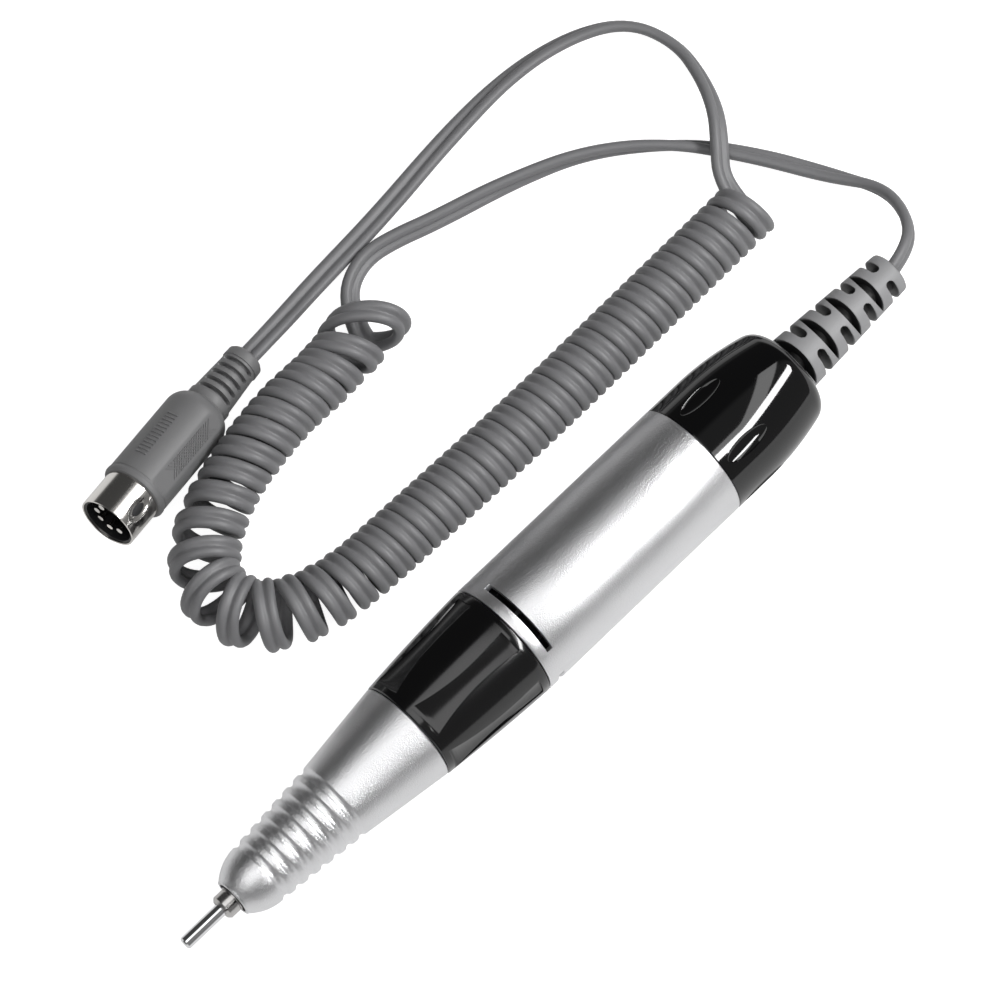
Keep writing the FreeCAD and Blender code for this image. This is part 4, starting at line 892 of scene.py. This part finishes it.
def cutThrough(piece, inside):
    # opens both walls where the test holds and joins the two rims, left in edit mode
    onlyThis(piece)
    bpy.ops.object.mode_set(mode="EDIT")
    selectFaces(piece, inside)
    bpy.ops.mesh.delete(type="FACE")
    bpy.ops.mesh.select_mode(type="EDGE")
    bpy.ops.mesh.select_all(action="DESELECT")
    bpy.ops.mesh.select_non_manifold()
    bpy.ops.mesh.bridge_edge_loops()


def makeBarrel():
    outer, bore = barrel["radius"], barrel["bore"]
    slotFront, slotBack = barrel["slotFront"], barrel["slotBack"]
    outline = [(barrelFront, outer - 0.3), (barrelFront + 0.1, outer - 0.1),
               (barrelFront + 0.3, outer), (slotFront, outer), (slotBack, outer),
               (110.0, outer), (130.0, outer), (capFront - 0.3, outer),
               (capFront - 0.1, outer - 0.1), (capFront, outer - 0.3),
               (capFront, bore), (slotBack, bore), (slotFront, bore), (barrelFront, bore)]
    tube = turnedPiece("barrelShell", outline, barrel["facets"])
    half = barrel["slotAngle"] / 2
    for i in range(barrel["slots"]):
        middle = barrel["slotTurn"] + i * 360 / barrel["slots"]

        def inSlot(place, normal):
            if not along(slotFront) < place.x < along(slotBack):
                return False
            angle = math.degrees(math.atan2(-place.y, place.z - axisHeight))
            return abs((angle - middle + 180) % 360 - 180) < half

        cutThrough(tube, inSlot)
        bpy.ops.object.mode_set(mode="OBJECT")
    bevelEdges(tube, 0.07, 2, 40)
    smooth(tube, 30)
    return settle(tube, "handpiece", "blastedAluminium", "aluminium", "barrel")


makeBarrel()
print("barrel made")

# End cap with six thumb dimples.
cap = {"radius": 14.0, "straight": 9.0, "taper": 69.0, "taperBack": 174.8, "taperRadius": 11.95,
       "corner": 4.3, "face": 7.9, "neck": 5.25, "dimples": 6, "dimpleAt": 156.6,
       "dimpleTurn": 35, "dimple": (5.75, 2.1, 0.8)}


def makeCap():
    outer = cap["radius"]
    outline = [(capFront, outer - 0.2), (capFront + 0.06, outer - 0.06), (capFront + 0.2, outer)]
    outline += [(capFront + cap["straight"] * i / 12, outer) for i in range(1, 13)]
    outline += outlineArc(outline[-1], (cap["taperBack"], cap["taperRadius"]), cap["taper"], 18)
    outline += outlineArc(outline[-1], (capBack, cap["face"]), cap["corner"], 14)
    outline += [(capBack, cap["neck"] + 0.15), (capBack - 0.15, cap["neck"]), (172.6, cap["neck"]),
                (172.6, 8.3), (166.6, 11.7), (capFront, 11.7), (capFront, 11.2), (143.5, 11.2),
                (143.5, 12.6), (capFront, 12.6)]
    shell = turnedPiece("capShell", outline, 144)
    long, wide, deep = cap["dimple"]
    bpy.ops.object.select_all(action="DESELECT")
    bpy.ops.mesh.primitive_uv_sphere_add(segments=64, ring_count=32, radius=mm,
                                         location=spotOn(cap["dimpleAt"], outer, 0),
                                         rotation=(0, math.pi / 2, 0))
    bowl = bpy.context.object
    applyPlace(bowl)
    bpy.ops.object.mode_set(mode="EDIT")
    bpy.ops.mesh.select_all(action="SELECT")
    bpy.ops.transform.resize(value=(long, wide, deep),
                             center_override=spotOn(cap["dimpleAt"], outer, 0))
    bpy.ops.object.mode_set(mode="OBJECT")
    bowls = [copyTurned(bowl, cap["dimpleTurn"] + i * 360 / cap["dimples"])
             for i in range(cap["dimples"])]
    bpy.data.objects.remove(bowl)
    carve(shell, joinAll(bowls))
    smooth(shell, 20)
    return settle(shell, "handpiece", "glossBlack", "black_plastic", "end_cap")


makeCap()
print("end cap made")

# Strain relief: slotted all round, two rows of long slots and two rows of short ones.
boot = {"front": 6.7, "back": 4.95, "core": 3.0, "pitch": 7.3, "slots": 4, "firstTop": 179.7,
        "firstSide": 184.0, "slotWidth": 2.15, "turn": 8, "bore": 2.45}


def makeSlotCutter(name, middle, half, width, steps, inner, outer, station, matrix, lens):
    # a rectangle carried round the axis; a lens gets narrow towards both ends
    bpy.ops.object.select_all(action="DESELECT")
    bpy.ops.mesh.primitive_plane_add(size=mm, rotation=(math.pi / 2, 0, 0))
    cutter = bpy.context.object
    cutter.name = name
    applyPlace(cutter)
    bpy.ops.object.mode_set(mode="EDIT")
    bpy.ops.mesh.select_all(action="SELECT")
    centre = (station * mm, 0, (inner + outer) / 2 * mm)
    bpy.ops.transform.resize(value=(width, 1, outer - inner), center_override=(0, 0, 0))
    bpy.ops.transform.translate(value=centre)
    start = Matrix.Rotation(math.radians(middle - half), 4, "X")

    def share(turn):
        if lens:
            return max(1 - abs(turn) ** 2.2, 0.2)
        fromEnd = (1 - abs(turn)) * math.radians(half) * outer * 0.65 / (width / 2)
        return max(math.sqrt(1 - max(1 - fromEnd, 0) ** 2), 0.3)

    bpy.ops.transform.resize(value=(share(1), 1, 1), center_override=centre)
    for i in range(1, steps + 1):
        bpy.ops.mesh.extrude_region_move()
        mesh = bmesh.from_edit_mesh(cutter.data)
        chosen = [vertex for vertex in mesh.verts if vertex.select]
        turn = Matrix.Rotation(math.radians(2 * half / steps), 4, "X")
        grow = share(2 * i / steps - 1) / share(2 * (i - 1) / steps - 1)
        for vertex in chosen:
            vertex.co = turn @ vertex.co
            vertex.co.x = station * mm + (vertex.co.x - station * mm) * grow
        bmesh.update_edit_mesh(cutter.data)
    bpy.ops.mesh.select_all(action="SELECT")
    bpy.ops.mesh.normals_make_consistent(inside=False)
    bpy.ops.object.mode_set(mode="OBJECT")
    cutter.data.transform(matrix @ start)
    return cutter


def copyAlong(piece, shift, axis):
    onlyThis(piece)
    bpy.ops.object.duplicate()
    twin = bpy.context.object
    twin.data.transform(Matrix.Translation(axis * shift * mm))
    return twin


def makeBoot():
    outline = [(capBack - 0.2, 5.2), (capBack - 0.2, boot["front"] - 0.9),
               (capBack + 0.05, boot["front"] - 0.3), (capBack + 0.3, boot["front"])]
    for i in range(1, 31):
        share = i / 30
        outline.append((capBack + 0.3 + (overall - capBack - 0.9) * share,
                        boot["front"] + (boot["back"] - boot["front"]) * share))
    outline += [(overall - 0.25, boot["back"] - 0.12), (overall, boot["back"] - 0.5),
                (overall, boot["bore"] + 0.25), (overall - 0.3, boot["bore"] + 0.05),
                (171.0, boot["bore"] + 0.05), (171.0, 7.0), (172.6, 7.0), (172.6, 5.2)]
    sleeve = turnedPiece("bootSleeve", outline, 96)
    matrix = Matrix.Translation((pinTip, 0, axisHeight))
    cutters = []
    for first, middle, half, lens in (
            (boot["firstTop"], boot["turn"], 76, True),
            (boot["firstTop"], boot["turn"] + 180, 76, True),
            (boot["firstSide"], boot["turn"] + 90, 72, False),
            (boot["firstSide"], boot["turn"] - 90, 72, False)):
        cutter = makeSlotCutter("slotCutter", middle, half, boot["slotWidth"], 40, boot["core"],
                                9.0, first, matrix, lens)
        cutters.append(cutter)
        cutters += [copyAlong(cutter, i * boot["pitch"], Vector((1, 0, 0)))
                    for i in range(1, boot["slots"])]
    carve(sleeve, joinAll(cutters))
    bevelEdges(sleeve, 0.22, 3, 38)
    smooth(sleeve, 40)
    return settle(sleeve, "handpiece", "bootRubber", "grey_rubber", "strain_relief")


makeBoot()
print("strain relief made")

# Plug: moulding, its own boot, and the metal shell.
plug = {"rim": 9.0, "mould": 7.35, "tail": 35.0, "end": 50.0,
        "shell": 6.6, "wall": 0.4, "key": 45, "lip": 0.12, "rows": 40,
        "windowFront": 3.75, "windowBack": 5.45, "windowHalf": 0.75,
        "pressMiddle": 4.7, "pressLong": 3.3, "pressWide": 1.9, "pressSink": 0.075}


def makePlugBody():
    rim, mould, tail = plug["rim"], plug["mould"], plug["tail"]
    outline = [(rim, 6.62), (rim, 7.1), (rim + 0.15, 7.35), (rim + 0.5, 7.5), (rim + 1.1, 7.5),
               (rim + 1.4, 7.4), (rim + 1.5, 7.22), (rim + 1.8, 7.22), (rim + 2.0, mould)]
    outline += [(rim + 2.0 + (tail - rim - 6.0) * i / 12, mould) for i in range(1, 13)]
    outline += outlineArc(outline[-1], (tail - 0.3, 5.1), 4.4, 10)
    outline += [(tail + 0.1, 5.0), (tail + 0.1, 3.0), (rim + 6.2, 3.0), (rim + 6.2, 6.62)]
    body = turnedPiece("plugMoulding", outline, 128, Matrix.Identity(4))
    # two flats along the sides
    for turn in (45, 225):
        angle = math.radians(turn)
        out = Vector((0, -math.sin(angle), math.cos(angle)))
        onlyThis(body)
        bpy.ops.object.mode_set(mode="EDIT")
        mesh = bmesh.from_edit_mesh(body.data)
        for vertex in mesh.verts:
            reach = vertex.co.dot(out)
            if reach > 6.95 * mm and (rim + 1.9) * mm < vertex.co.x:
                vertex.co -= out * (reach - 6.95 * mm)
        bmesh.update_edit_mesh(body.data)
        bpy.ops.object.mode_set(mode="OBJECT")
    smooth(body, 30)
    details = []
    # grip ribs on the upper side
    for i in range(13):
        bpy.ops.object.select_all(action="DESELECT")
        bpy.ops.mesh.primitive_cylinder_add(vertices=12, radius=0.22 * mm, depth=2.7 * mm,
                                            rotation=(math.pi / 2, 0, 0),
                                            location=((15.0 + i * 0.95) * mm, 0, mould * mm))
        rib = bpy.context.object
        applyPlace(rib)
        rib.data.transform(Matrix.Rotation(math.radians(-20), 4, "X"))
        bevelEdges(rib, 0.15, 2, 30)
        details.append(rib)
    # a patch of crossed fine ribs on the flat
    for lean in (45, -45):
        for i in range(15):
            bpy.ops.object.select_all(action="DESELECT")
            bpy.ops.mesh.primitive_cube_add(size=mm, location=(0, 0, 0))
            bar = bpy.context.object
            bpy.ops.object.mode_set(mode="EDIT")
            bpy.ops.mesh.select_all(action="SELECT")
            bpy.ops.transform.resize(value=(4.6, 0.16, 0.3), center_override=(0, 0, 0))
            bpy.ops.object.mode_set(mode="OBJECT")
            place = Matrix.Translation(((17.0 + i * 0.85) * mm, 0, 6.98 * mm))
            bar.data.transform(Matrix.Rotation(math.radians(45), 4, "X") @ place
                               @ Matrix.Rotation(math.radians(lean), 4, "Z"))
            details.append(bar)
    body = joinAll([body] + details)
    body.data.transform(plugMatrix)
    return settle(body, "handpiece", "plugMoulding", "dark_plastic", "plug_body")


def makePlugBoot():
    tail, end = plug["tail"], plug["end"]
    outline = [(tail, 3.0), (tail, 5.05), (tail + 1.8, 5.05), (tail + 2.0, 4.75)]
    for i in range(1, 17):
        share = i / 16
        outline.append((tail + 2.0 + (end - tail - 4.6) * share, 4.75 - 0.65 * share))
    outline += [(end - 2.5, 4.35), (end - 0.5, 4.25), (end, 3.8), (end, 2.7), (end - 0.2, 2.5),
                (tail, 2.5)]
    sleeve = turnedPiece("plugBoot", outline, 96, Matrix.Identity(4))
    cutters = []
    for middle in (8, 188):
        cutter = makeSlotCutter("plugSlot", middle, 60, 1.05, 16, 3.1, 6.5, tail + 2.7,
                                Matrix.Identity(4), False)
        cutters.append(cutter)
        cutters += [copyAlong(cutter, i * 2.15, Vector((1, 0, 0))) for i in range(1, 5)]
    carve(sleeve, joinAll(cutters))
    bevelEdges(sleeve, 0.1, 2, 38)
    smooth(sleeve, 40)
    sleeve.data.transform(plugMatrix)
    return settle(sleeve, "handpiece", "plugMoulding", "dark_plastic", "plug_boot")


def makePlugShell():
    shell, wall = plug["shell"], plug["wall"]
    lip, rows = plug["lip"], plug["rows"]
    outline = [(lip, shell - wall), (0.0, shell - wall / 2), (lip, shell)]
    outline += [(lip + (plug["rim"] - lip) * i / rows, shell) for i in range(1, rows + 1)]
    outline += [(plug["rim"] + 5.9, shell), (plug["rim"] + 5.9, shell - wall)]
    outline += [(plug["rim"] - (plug["rim"] - lip) * i / rows, shell - wall)
                for i in range(rows)]
    tube = turnedPiece("plugShell", outline, 180, Matrix.Identity(4))
    key = math.radians(plug["key"])

    def inWindow(place, normal):
        angle = math.atan2(-place.y, place.z)
        inside = plug["windowFront"] * mm < place.x < plug["windowBack"] * mm
        return inside and abs((angle - key) * shell) < plug["windowHalf"]

    cutThrough(tube, inWindow)
    # the pressed oval around the window
    mesh = bmesh.from_edit_mesh(tube.data)
    for vertex in mesh.verts:
        angle = math.atan2(-vertex.co.y, vertex.co.z)
        across = (angle - key) * shell
        part = ((vertex.co.x / mm - plug["pressMiddle"]) / plug["pressLong"]) ** 2
        part += (across / plug["pressWide"]) ** 2
        if part < 1:
            sink = 1 - plug["pressSink"] * (1 - part ** 1.5)
            vertex.co.y *= sink
            vertex.co.z *= sink
    bmesh.update_edit_mesh(tube.data)
    bpy.ops.object.mode_set(mode="OBJECT")
    smooth(tube, 35)
    tube.data.transform(plugMatrix)
    return settle(tube, "handpiece", "nickelShell", "chrome", "plug_shell")


makePlugBody()
makePlugBoot()
makePlugShell()
print("plug made")


# Floor.
tableTop = {"size": 6.0, "grey": (0.5, 0.5, 0.5, 1), "rough": 0.9, "glow": 0.3,
            "glowSeen": 0.6}
bpy.ops.object.select_all(action="DESELECT")
bpy.ops.mesh.primitive_plane_add(size=tableTop["size"], location=(0, 0, 0))
floor = bpy.context.object
floor.name = "floor"
floorPaint = bpy.data.materials.new("paleFloor")
floorPaint.use_nodes = True
shader = floorPaint.node_tree.nodes["Principled BSDF"]
shader.inputs["Base Color"].default_value = tableTop["grey"]
shader.inputs["Roughness"].default_value = tableTop["rough"]
shader.inputs["Specular IOR Level"].default_value = 0.0
shader.inputs["Emission Color"].default_value = (1, 1, 1, 1)
# the table glows white to the eye and dimmer in the object's reflections
glow = floorPaint.node_tree.nodes.new("ShaderNodeLightPath").outputs["Is Camera Ray"]
glow = mathNode(floorPaint.node_tree, "MULTIPLY", glow, tableTop["glowSeen"])
glow = mathNode(floorPaint.node_tree, "ADD", glow, tableTop["glow"])
floorPaint.node_tree.links.new(glow, shader.inputs["Emission Strength"])
floor.data.materials.append(floorPaint)
